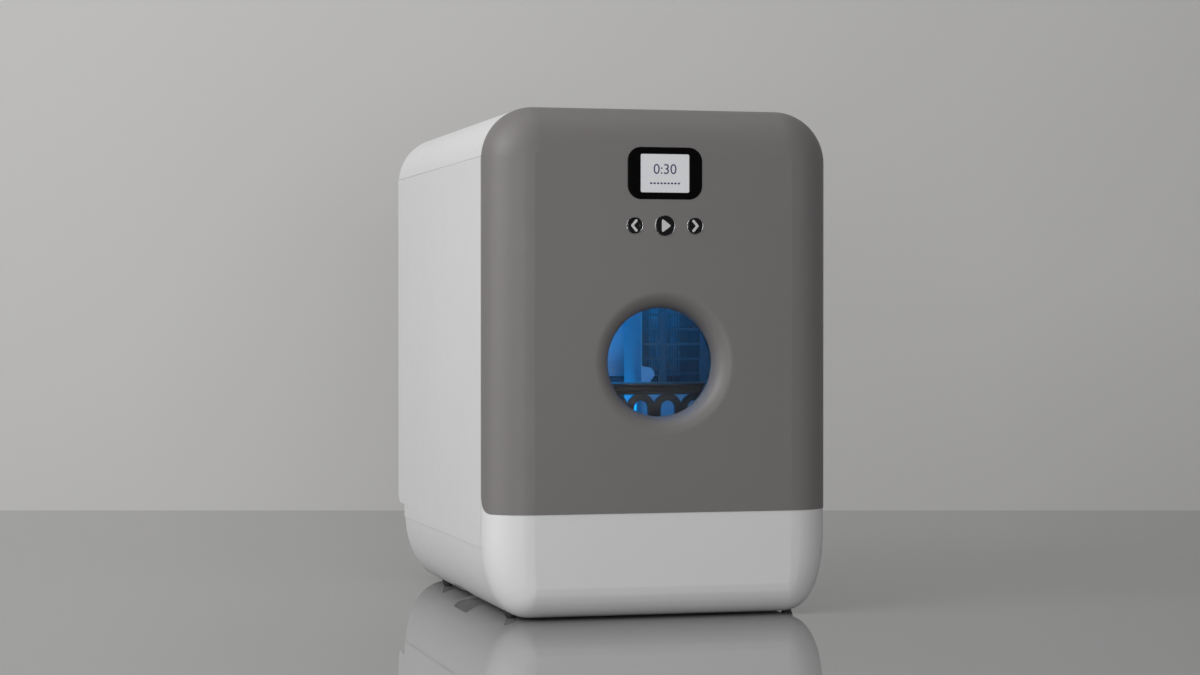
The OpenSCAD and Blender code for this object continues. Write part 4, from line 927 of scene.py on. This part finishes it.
class DISHWASHER_OT_display(bpy.types.Operator):
    """Make the display's bezel, screen and countdown"""

    bl_idname = "dishwasher.display"
    bl_label = "Display"

    def execute(self, context):
        c = context.scene.control_sizes
        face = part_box("display_bezel")[0].y
        sw, sh = SCREEN_HIGH.x - SCREEN_LOW.x, SCREEN_HIGH.z - SCREEN_LOW.z

        def frame_loop(y, e):
            """Outline of the bezel, drawn in by e"""
            return at_y(rounded(0, DISPLAY_Z, BEZEL_W - 2 * e, BEZEL_H - 2 * e,
                                c.bezel_radius - e, 10), y)

        def screen_loop(y, e, r):
            """Outline round the screen, wider by e"""
            return at_y(rounded(0, DISPLAY_Z, sw + 2 * e, sh + 2 * e, r, 10), y)

        edge = 0.0008
        rings = [frame_loop(FRONT + 0.0033, 0.0), frame_loop(face + edge, 0.0)]
        rings += [frame_loop(face + edge * (1 - math.sin(a)), edge * (1 - math.cos(a)))
                  for a in angles(18, 6, 1)]
        rings += [frame_loop(face, 0.002), screen_loop(face, 0.0007, 0.0022),
                  screen_loop(face + 0.0003, 0.0001, 0.0016),
                  screen_loop(FRONT + 0.0024, 0.0001, 0.0016)]
        bezel = Form().skin(rings).cap(rings[-1]).cap(rings[0]).object("display_frame")
        finish(bezel, "bezel", "door", "display_bezel", angle=50)
        glass = Form().prism(rounded(0, DISPLAY_Z, sw, sh, 0.0015, 6), SCREEN_LOW.y, SCREEN_HIGH.y)
        finish(glass.object("screen_glass"), "screen", "door", "display_screen", edge=0.0003)

        ink = 0.00003
        curve = bpy.data.curves.new("countdown", "FONT")
        curve.body = "0:30"
        curve.align_x = curve.align_y = "CENTER"
        curve.size = c.digits
        curve.extrude = ink
        text = placed("countdown", curve)
        text.matrix_world = (Matrix.Translation((0, SCREEN_LOW.y, DISPLAY_Z + 0.0035))
                             @ Matrix.Rotation(math.radians(90), 4, "X"))
        context.view_layer.update()
        data = baked(text)
        data.transform(text.matrix_world)
        bpy.data.objects.remove(text)
        dress(placed("screen_digits", data), "ink", "door", slot="screen")
        bars = Form()
        for i in range(9):
            bar = rounded(-0.0136 + i * 0.0034, DISPLAY_Z - 0.0095, 0.0022, 0.0016, 0.0004, 2)
            bars.prism(bar, SCREEN_LOW.y - ink, SCREEN_LOW.y + 0.0001)
        dress(bars.object("screen_progress"), "ink", "door", slot="screen")
        return {"FINISHED"}


# Outlines of the start icon and of the left arrow, as shares of an icon's size
START_ICON = [(-0.60, -1.02), (-0.50, -1.14), (-0.36, -1.16), (-0.24, -1.11), (1.02, -0.16),
              (1.10, 0.0), (1.02, 0.16), (-0.24, 1.11), (-0.36, 1.16), (-0.50, 1.14), (-0.60, 1.02)]
ARROW_ICON = [(-0.86, -0.12), (-0.90, 0.0), (-0.86, 0.12), (0.24, 1.38), (0.54, 1.36),
              (0.66, 1.16), (0.70, 0.98), (-0.16, 0.08), (-0.20, 0.0), (-0.16, -0.08),
              (0.70, -0.98), (0.66, -1.16), (0.54, -1.36), (0.24, -1.38)]


class DISHWASHER_OT_buttons(bpy.types.Operator):
    """Make the three buttons with their rims and icons"""

    bl_idname = "dishwasher.buttons"
    bl_label = "Buttons"

    def execute(self, context):
        c = context.scene.control_sizes
        rims = Form()
        face, root, top = FRONT - 0.0005, FRONT + 0.0035, FRONT - 0.0002
        for i, body in ((-1, "button_left"), (0, "button_start"), (1, "button_right")):
            x = i * c.pitch
            r = c.side_rim if i else c.start_rim
            rim_in = r - 0.0006
            bead = [(r - 0.0003 * (1 - math.cos(a)), face + 0.0005 * (1 - math.sin(a)))
                    for a in angles(20, 10, 1)]
            rims.lathe([(r, root), (r, face + 0.0006)] + bead
                       + [(rim_in, face + 0.0008), (rim_in, root), (r, root)], x, BUTTON_Z, 72)

            # Crowned cap with a collar under the door's skin and a stem to the switch
            cap_r, edge, collar, stem = r - 0.0008, 0.0007, r + 0.0008, 0.0025
            cap = [(0, top + 0.0004), (cap_r * 0.35, top + 0.00034),
                   (cap_r * 0.7, top + 0.00014), (cap_r - 0.0009, top)]
            cap += [(cap_r - edge * (1 - math.sin(a)), top + edge * (1 - math.cos(a)))
                    for a in angles(18, 6, 1)]
            cap += [(cap_r, FRONT + 0.0043), (collar, FRONT + 0.0043), (collar, FRONT + 0.0058),
                    (stem, FRONT + 0.0058), (stem, FRONT + 0.0082), (0, FRONT + 0.0082)]
            piece = Form().lathe(cap, x, BUTTON_Z, 64).object(body + "_cap")
            finish(piece, "button", body, body)
            shape = [(-u * i, v * 1.05) for u, v in ARROW_ICON] if i else START_ICON
            size = r * 0.5
            outline = [(x + u * size, BUTTON_Z + v * size) for u, v in shape]
            icon = Form().prism(outline, top - 0.00005, top + 0.0008).object(body + "_icon")
            finish(icon, "icon", body, edge=0.00012, angle=25, slot="button")
        finish(rims.object("button_rim_rings"), "rim", "door", "button_rims")
        return {"FINISHED"}


# Basket


def basket_path(s, e):
    """Outline of the basket seen from above, set in by e, counter-clockwise"""
    x, y0, y1 = BASKET_HIGH.x - e, BASKET_LOW.y + e, BASKET_HIGH.y - e
    f, r = s.corner - e, s.rear_corner - e
    return (quarter(x - r, y1 - r, r, r, 0, 10) + quarter(-x + r, y1 - r, r, r, 90, 10)
            + quarter(-x + f, y0 + f, f, f, 180, 14) + quarter(x - f, y0 + f, f, f, 270, 14))


class Growth:
    """Geometry node tree with named inputs"""

    def __init__(self, name, **inputs):
        self.tree = bpy.data.node_groups.new(name, "GeometryNodeTree")
        face = self.tree.interface
        face.new_socket("Geometry", in_out="INPUT", socket_type="NodeSocketGeometry")
        for key, kind in {**inputs, "Material": "Material"}.items():
            face.new_socket(key.replace("_", " "), in_out="INPUT", socket_type="NodeSocket" + kind)
        face.new_socket("Geometry", in_out="OUTPUT", socket_type="NodeSocketGeometry")
        self.given = self.tree.nodes.new("NodeGroupInput").outputs
        self.result = self.tree.nodes.new("NodeGroupOutput")

    def add(self, kind, sockets=(), output=0, **settings):
        """New node, of which one output is given back"""
        made = self.tree.nodes.new(kind)
        for key, value in settings.items():
            setattr(made, key, value)
        for key, value in dict(sockets).items():
            if isinstance(value, bpy.types.NodeSocket):
                self.tree.links.new(value, made.inputs[key])
            else:
                made.inputs[key].default_value = value
        return made.outputs[output]

    def geo(self, kind, sockets=(), output=0, **settings):
        return self.add("GeometryNode" + kind, sockets, output, **settings)

    def copies(self, points, shape, **sockets):
        """Copies of a shape on points, where the shape may be the name of an object input"""
        if isinstance(shape, str):
            shape = self.geo("ObjectInfo", {"Object": self.given[shape]}, "Geometry")
        return self.geo("InstanceOnPoints", {"Points": points, "Instance": shape, **sockets})

    def join(self, *sources):
        made = self.tree.nodes.new("GeometryNodeJoinGeometry")
        for source in sources:
            self.tree.links.new(source, made.inputs[0])
        return made.outputs[0]

    def grow(self, host, look, *sources, **values):
        """Makes the sources' copies real, and leaves them in the host in one material"""
        real = self.geo("RealizeInstances", {0: self.join(*sources)})
        paint = self.geo("SetMaterial", {"Geometry": real, "Material": self.given["Material"]})
        self.tree.links.new(paint, self.result.inputs[0])
        values["Material"] = finish_of(look)
        made = host.modifiers.new(self.tree.name, "NODES")
        made.node_group = self.tree
        for item in self.tree.interface.items_tree:
            key = item.name.replace(" ", "_")
            if item.item_type == "SOCKET" and item.in_out == "INPUT" and key in values:
                made[item.identifier] = values[key]
        settle(host)


def host_of(name, points, edges=(), faces=()):
    data = bpy.data.meshes.new(name)
    data.from_pydata([tuple(p) for p in points], list(edges), list(faces))
    return placed(name, data)


class DISHWASHER_OT_basket(bpy.types.Operator):
    """Make the basket's rim, foot loop and rows of arches"""

    bl_idname = "dishwasher.basket"
    bl_label = "Basket"

    def execute(self, context):
        s = context.scene.basket_sizes
        half, r = s.strip / 2, 0.0012
        path = basket_path(s, half)
        top, low, foot = BASKET_HIGH.z, BASKET_HIGH.z - s.rim, BASKET_LOW.z
        # Outer side of the rim, with a groove near each edge
        notch, side = 0.0009, [(half, low + r)]
        for z in (low + 0.0030, top - 0.0048):
            side += [(half, z), (half - notch, z + 0.0006), (half, z + 0.0012)]
        side += [(half, top - r)]
        rim = Form()
        rim.sweep(path, side + [(half - r, top), (-half + r, top), (-half, top - r),
                                (-half, low + r), (-half + r, low), (half - r, low)])
        high = foot + 0.008
        rim.sweep(path, [(half, foot + r), (half, high - r), (half - r, high), (-half + r, high),
                         (-half, high - r), (-half, foot + r), (-half + r, foot), (half - r, foot)])
        finish(rim.object("basket_rim"), "basket", "basket", "basket_frame", angle=30)

        # One arch, which the tree repeats along the straight runs
        pillar = s.pitch / 2
        outer, inner, foot_w = pillar + 0.0005, pillar - 0.0062, pillar - 0.0047
        crown, foot_z = low + 0.001 - outer, foot + 0.004
        outline = [(outer - 0.0002, foot_z)]
        for start in (0, 90):
            outline += quarter(0, crown, outer, outer, start, 12)
        outline += [(-outer + 0.0002, foot_z), (-foot_w, foot_z)]
        outline += [(-inner * math.cos(a), crown + inner * math.sin(a)) for a in angles(9, 21)]
        outline += [(foot_w, foot_z)]
        arch = Form().prism(outline, -half + 0.001, half - 0.001).object("one_arch")
        soften(arch, 0.0006)
        runs = []
        for x, y, dx, dy, count in self.rows(s, half):
            reach = (count - 1) * s.pitch / 2 + 0.00001
            runs += [(x - dx * reach, y - dy * reach, 0), (x + dx * reach, y + dy * reach, 0)]
        host = host_of("basket_arches", runs, [(2 * i, 2 * i + 1) for i in range(len(runs) // 2)])
        tree = Growth("Arches along lines", Arch="Object", Pitch="Float")
        lines = tree.geo("MeshToCurve", {"Mesh": tree.given["Geometry"]})
        spots = tree.geo("ResampleCurve", {"Curve": lines, "Length": tree.given["Pitch"]},
                         mode="LENGTH")
        turn = tree.add("FunctionNodeAlignRotationToVector",
                        {"Vector": tree.geo("InputTangent")}, axis="X")
        arches = tree.copies(spots, "Arch", Rotation=turn)
        tree.grow(host, "basket", arches, Arch=arch, Pitch=s.pitch)
        bpy.data.objects.remove(arch)
        finish(host, "basket", "basket", "basket_frame")
        return {"FINISHED"}

    @staticmethod
    def rows(s, half):
        """Middle, direction and count of each row of arches"""
        shift = -0.005
        width = 2 * (BASKET_HIGH.x - s.corner + shift)
        rear = 2 * (BASKET_HIGH.x - s.rear_corner)
        side = BASKET_HIGH.y - BASKET_LOW.y - s.corner - s.rear_corner
        side_y = (BASKET_LOW.y + s.corner + BASKET_HIGH.y - s.rear_corner) / 2
        return ((shift, BASKET_LOW.y + half, 1, 0, int(width / s.pitch)),
                (0, BASKET_HIGH.y - half, 1, 0, int(rear / s.pitch)),
                (BASKET_LOW.x + half, side_y, 0, 1, int(side / s.pitch)),
                (BASKET_HIGH.x - half, side_y, 0, 1, int(side / s.pitch)))


class DISHWASHER_OT_cutlery_basket(bpy.types.Operator):
    """Make the wire basket for cutlery"""

    bl_idname = "dishwasher.cutlery_basket"
    bl_label = "Cutlery basket"

    def execute(self, context):
        s = context.scene.basket_sizes
        low, high = CUTLERY_LOW, CUTLERY_HIGH
        size, centre = high - low, ((low.x + high.x) / 2, (low.y + high.y) / 2, low.z)
        post_d, skin = 0.0024, 0.0009
        posts = [(x, y, low.z) for x in (0.0690, high.x - 0.0045)
                 for y in (low.y + post_d / 2, high.y - post_d / 2)]
        host = host_of("cutlery_grid", posts)
        tree = Growth("Wire box", Width="Float", Depth="Float", Height="Float", Wire_gap="Float",
                      Ring_gap="Float", Wire_radius="Float", Post="Object", Centre="Vector",
                      First_ring="Float", Rings="Int")
        given = tree.given

        def lifted(height):
            return tree.add("ShaderNodeCombineXYZ", {"Z": height})

        box = tree.geo("CurvePrimitiveQuadrilateral",
                       {"Width": given["Width"], "Height": given["Depth"]})
        spots = tree.geo("ResampleCurve", {"Curve": box, "Length": given["Wire gap"]},
                         mode="LENGTH")
        rod = tree.geo("MeshCylinder", {"Vertices": 6, "Radius": given["Wire radius"],
                                        "Depth": given["Height"]})
        half = tree.add("ShaderNodeMath", {0: given["Height"], 1: 0.5}, operation="MULTIPLY")
        raised = tree.geo("Transform", {"Geometry": tree.copies(spots, rod),
                                        "Translation": lifted(half)})
        section = tree.geo("CurvePrimitiveQuadrilateral", {"Width": 0.0018, "Height": 0.0024})
        ring = tree.geo("CurveToMesh", {"Curve": box, "Profile Curve": section})
        ladder = tree.geo("MeshLine", {"Count": given["Rings"],
                                       "Start Location": lifted(given["First ring"]),
                                       "Offset": lifted(given["Ring gap"])})
        walls = tree.geo("Transform", {"Geometry": tree.join(raised, tree.copies(ladder, ring)),
                                       "Translation": given["Centre"]})
        post = Form().prism(rounded(0, 0, 0.009, 0.0022, 0.0009, 3), 0, size.z, "Z")
        post = post.object("one_post")
        soften(post, 0, 30)
        tree.grow(host, "wire", walls, tree.copies(given["Geometry"], "Post"),
                  Width=size.x - post_d, Depth=size.y - post_d, Height=size.z,
                  Wire_gap=s.wire_gap, Ring_gap=s.ring_gap, Wire_radius=0.0006, Post=post,
                  Centre=centre, First_ring=0.0152, Rings=10)
        bpy.data.objects.remove(post)
        finish(host, "wire", "basket", "cutlery_basket", slot="basket")
        plate = rounded(*centre[:2], size.x - 0.001, size.y - 0.001, 0.003, 4)
        floor = Form().prism(plate, low.z, low.z + 0.0024, "Z").object("cutlery_floor")
        finish(floor, "basket", "basket", "cutlery_basket", edge=0.0004)

        # Guard plate on the left, skirt in front under the rim, and a flap above the rim
        rim_z, inner, foot = BASKET_HIGH.z, 0.001, low.z + 0.004
        guard = Form().block((low.x, low.y + inner, foot), (low.x + skin, high.y, high.z - 0.004))
        guard.block((low.x + inner, low.y, foot), (high.x, low.y + skin, rim_z - s.rim - 0.002))
        wave = quarter(0.004, 0.0145, 0.004, 0.0030, 180, 5)
        wave += quarter(0.0055, 0.0040, 0.0085, 0.0075, 90, 10, turn=-150)
        wave += [(0.0105, -0.006), (0.0, -0.008)]
        guard.prism([(low.x + u, rim_z + v) for u, v in wave], low.y, low.y + skin)
        finish(guard.object("cutlery_guard"), "inner_plastic", "basket", "cutlery_basket",
               edge=0.0002)
        return {"FINISHED"}


# Fasteners


def islands(form):
    """Groups of the points of a form that hang together"""
    seen = set()
    for start in form.mesh.verts:
        if start.index in seen:
            continue
        stack, group = [start], []
        seen.add(start.index)
        while stack:
            vert = stack.pop()
            group.append(vert.co.copy())
            for edge in vert.link_edges:
                other = edge.other_vert(vert)
                if other.index not in seen:
                    seen.add(other.index)
                    stack.append(other)
        yield group


def heads_of(node):
    """Centres of the screws, found from the CAD node's separate solids"""
    form = Form(node)
    centres = []
    for group in islands(form):
        x, z = ((min(p[axis] for p in group) + max(p[axis] for p in group)) / 2 for axis in (0, 2))
        if all(abs(x - c[0]) + abs(z - c[1]) > 0.002 for c in centres):
            centres.append((x, z))
    form.mesh.free()
    return centres


class DISHWASHER_OT_screws(bpy.types.Operator):
    """Make the cross-head screws of the rear cover and the inner door"""

    bl_idname = "dishwasher.screws"
    bl_label = "Screws"

    def execute(self, context):
        shank, half_slot = 0.0015, 0.00035
        for node, body, radius in (("casing_screws", "cabinet", 0.0036),
                                   ("door_screws", "door", 0.0034)):
            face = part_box(node)[1].y
            profile = [(0, 0), (radius * 0.55, -0.00008), (radius * 0.85, -0.0004),
                       (radius, -0.0009), (radius, -0.0013), (shank, -0.0013), (shank, -0.011),
                       (0, -0.0115)]
            screw = Form().lathe(profile, 0, 0, 28).object("one_screw")
            arm = radius * 0.58
            carve(screw, *(Form().block((-x, -0.0009, -z), (x, OVER, z))
                           for x, z in ((arm, half_slot), (half_slot, arm))))
            soften(screw, 0, 35)
            host = host_of(node + "_heads", [(x, face, z) for x, z in heads_of(node)])
            tree = Growth("Screws on points", Screw="Object", Seed="Int")
            spin = tree.add("FunctionNodeRandomValue",
                            {"Min": (0.0, 0.0, 0.0), "Max": (0.0, 3.14, 0.0),
                             "Seed": tree.given["Seed"]}, data_type="FLOAT_VECTOR")
            copies = tree.copies(tree.given["Geometry"], "Screw", Rotation=spin)
            tree.grow(host, "steel", copies, Screw=screw, Seed=7)
            bpy.data.objects.remove(screw)
            dress(host, "steel", body, node)
        return {"FINISHED"}


# Everything that keeps its CAD shape: its look, and how far its edges are softened
CARRIED = {
    "front_frame": ("casing", 0.0006), "tub": ("tub", 0.0), "basket_rails": ("steel", 0.0005),
    "sump": ("dark_plastic", 0.0004), "filter_plate": ("steel", 0.0003),
    "spray_hub": ("dark_plastic", 0.0004), "water_tank": ("tank", 0.0008),
    "wash_pump": ("dark_plastic", 0.0005), "wash_motor": ("steel", 0.0008),
    "drain_pump": ("dark_plastic", 0.0005), "drain_motor": ("steel", 0.0008),
    "heater": ("steel", 0.0006), "riser_pipe": ("dark_plastic", 0.0005),
    "hose_couplings": ("rubber", 0.0004), "drain_hose": ("rubber", 0.0003),
    "tank_hoses": ("rubber", 0.0003), "fan_housing": ("dark_plastic", 0.0005),
    "power_inlet": ("dark_plastic", 0.0003), "drain_spigot": ("dark_plastic", 0.0004),
    "inlet_valve": ("dark_plastic", 0.0004), "power_board": ("board", 0.0002),
    "light_strip": ("light", 0.0006), "catch_plate": ("steel", 0.0003),
    "hinge_arms": ("steel", 0.0004), "hinge_pins": ("steel", 0.0003),
    "control_board": ("board", 0.0002), "hinge_bushes": ("brass", 0.0002),
    "door_magnet": ("steel", 0.0003), "dispenser_box": ("inner_plastic", 0.0006),
    "dispenser_cover": ("dark_plastic", 0.0005), "plate_rack": ("basket", 0.0003),
    "spray_arm": ("dark_plastic", 0.0012), "filter_cup": ("dark_plastic", 0.0003),
    "wash_impeller": ("impeller", 0.0003), "drain_impeller": ("impeller", 0.0002),
    "fan_rotor": ("dark_plastic", 0.0002), "level_float": ("float", 0.0012),
    "door_liner": ("inner_plastic", 0.0005), "tub_gasket": ("rubber", 0.0008),
}


class DISHWASHER_OT_carried(bpy.types.Operator):
    """Soften and finish the parts that keep their CAD shape"""

    bl_idname = "dishwasher.carried"
    bl_label = "Inner parts"

    def execute(self, context):
        bodies = frame["record"]["behaviour"]["bodies"]
        body_of = {node: body for body, members in bodies.items() for node in members}
        for node, (look, edge) in CARRIED.items():
            dress(recut(node, edge), look, body_of[node], node)
        return {"FINISHED"}


# Stage


def lamp(name, place, aim, width, height, watts, rgb=(1.0, 1.0, 1.0)):
    data = bpy.data.lights.new(name, "AREA")
    data.shape = "RECTANGLE"
    data.size, data.size_y = width, height
    data.energy = watts
    data.color = rgb
    made = placed(name, data)
    made.location = place
    made.rotation_euler = (Vector(aim) - Vector(place)).to_track_quat("-Z", "Y").to_euler()
    made.visible_camera = False


class DISHWASHER_OT_stage(bpy.types.Operator):
    """Set up the floor, backdrop, lamps, world and camera"""

    bl_idname = "dishwasher.stage"
    bl_label = "Stage"

    def execute(self, context):
        s = context.scene.stage_settings
        eye, heading, tilt = Vector((-0.6746, -2.6079, 0.2841)), math.radians(14.482), 89.598
        ahead = Vector((math.sin(heading), math.cos(heading), 0))
        across = Vector((ahead.y, -ahead.x, 0)) * 4
        foot = eye + ahead * 3.864
        foot.z = 0

        floor = Shader("Floor")
        floor.shades(floor.noise(3.0), tone(s.floor, 0.985), tone(s.floor, 1.015))
        floor.gloss(floor.noise(6.0), 0.03, 0.05)
        wall = Shader("Backdrop", Roughness=0.9)
        wall.shades(wall.noise(2.0), tone(s.wall, 0.985), tone(s.wall, 1.015))
        # Clear from behind, so that it never hides the machine
        blend = wall.add("ShaderNodeMixShader")
        wall.link(wall.add("ShaderNodeNewGeometry").outputs["Backfacing"], blend.inputs[0])
        wall.link(wall.surface.outputs[0], blend.inputs[1])
        wall.link(wall.add("ShaderNodeBsdfTransparent").outputs[0], blend.inputs[2])
        wall.link(blend.outputs[0], wall.output.inputs["Surface"])
        left, right = foot - across, foot + across
        near, up = ahead * -6, Vector((0, 0, 3))
        for name, shift, face, mat in (("floor", near, (3, 2, 1, 0), floor),
                                       ("backdrop", up, (0, 1, 2, 3), wall)):
            plane = host_of(name, (left, right, right + shift, left + shift), faces=[face])
            plane.data.materials.append(mat.material)

        lamp("Key", (-2.7, -1.3, 1.95), (0, 0, 0.25), 2.4, 2.4, s.key)
        lamp("Fill", (-0.7, -3.6, 0.42), (0, 0, 0.12), 2.0, 0.8, s.fill)
        lamp("Low", (-2.4, -0.5, 0.2), (0, 0.05, 0.05), 1.6, 0.3, s.low)
        lamp("Low right", (1.9, -1.7, 0.14), (0.1, 0, 0.04), 0.8, 0.22, s.low * 0.3)
        lamp("Top", (-0.3, -0.2, 2.8), (0, 0, 0.4), 2.2, 2.2, s.top)
        strip, blue = (LIGHT_LOW + LIGHT_HIGH) / 2, (0.0, 0.34, 1.0)
        lamp("Tub", (strip.x, strip.y + 0.02, LIGHT_LOW.z - 0.004), (0, -0.04, 0.15), 0.12, 0.02,
             s.tub, blue)
        lamp("Tub glow", (-0.03, 0.03, 0.172), (-0.03, 0.12, 0.172), 0.18, 0.05, s.tub * 0.5, blue)

        world = bpy.data.worlds.new("Room")
        context.scene.world = world
        world.use_nodes = True
        room = world.node_tree.nodes["Background"].inputs
        room["Color"].default_value = (1, 1, 1, 1)
        room["Strength"].default_value = s.room

        lens = bpy.data.cameras.new("Camera")
        lens.lens = s.focal
        lens.sensor_width = 36.0
        lens.sensor_fit = "HORIZONTAL"
        lens.clip_start = 0.02
        camera = placed("Camera", lens)
        camera.location = eye
        camera.rotation_euler = (math.radians(tilt), 0, -heading)
        context.scene.camera = camera
        context.scene.view_settings.view_transform = "Standard"
        return {"FINISHED"}


STEPS = (DISHWASHER_OT_door, DISHWASHER_OT_fascia, DISHWASHER_OT_top_cover,
         DISHWASHER_OT_base_tray, DISHWASHER_OT_feet, DISHWASHER_OT_panels,
         DISHWASHER_OT_window, DISHWASHER_OT_display, DISHWASHER_OT_buttons,
         DISHWASHER_OT_basket, DISHWASHER_OT_cutlery_basket, DISHWASHER_OT_screws,
         DISHWASHER_OT_carried, DISHWASHER_OT_stage)
GROUPS = {"casing_sizes": CasingSettings, "window_sizes": WindowSettings,
          "control_sizes": ControlSettings, "basket_sizes": BasketSettings,
          "stage_settings": StageSettings}


class DISHWASHER_PT_panel(bpy.types.Panel):
    """Lists the sizes and the steps in the sidebar"""

    bl_idname = "DISHWASHER_PT_panel"
    bl_label = "Dishwasher"
    bl_space_type = "VIEW_3D"
    bl_region_type = "UI"
    bl_category = "Dishwasher"

    def draw(self, context):
        layout = self.layout
        for key, group in GROUPS.items():
            box = layout.box()
            box.label(text=group.__doc__)
            for name in group.__annotations__:
                box.prop(getattr(context.scene, key), name)
        for step in STEPS:
            layout.operator(step.bl_idname)


CLASSES = tuple(GROUPS.values()) + STEPS + (DISHWASHER_PT_panel,)


def register():
    for cls in CLASSES:
        bpy.utils.register_class(cls)
    for key, group in GROUPS.items():
        setattr(bpy.types.Scene, key, PointerProperty(type=group))


def unregister():
    for key in GROUPS:
        delattr(bpy.types.Scene, key)
    for cls in reversed(CLASSES):
        bpy.utils.unregister_class(cls)


def main():
    register()
    for step in STEPS:
        area, name = step.bl_idname.split(".")
        getattr(getattr(bpy.ops, area), name)()


if __name__ == "__main__":
    main()
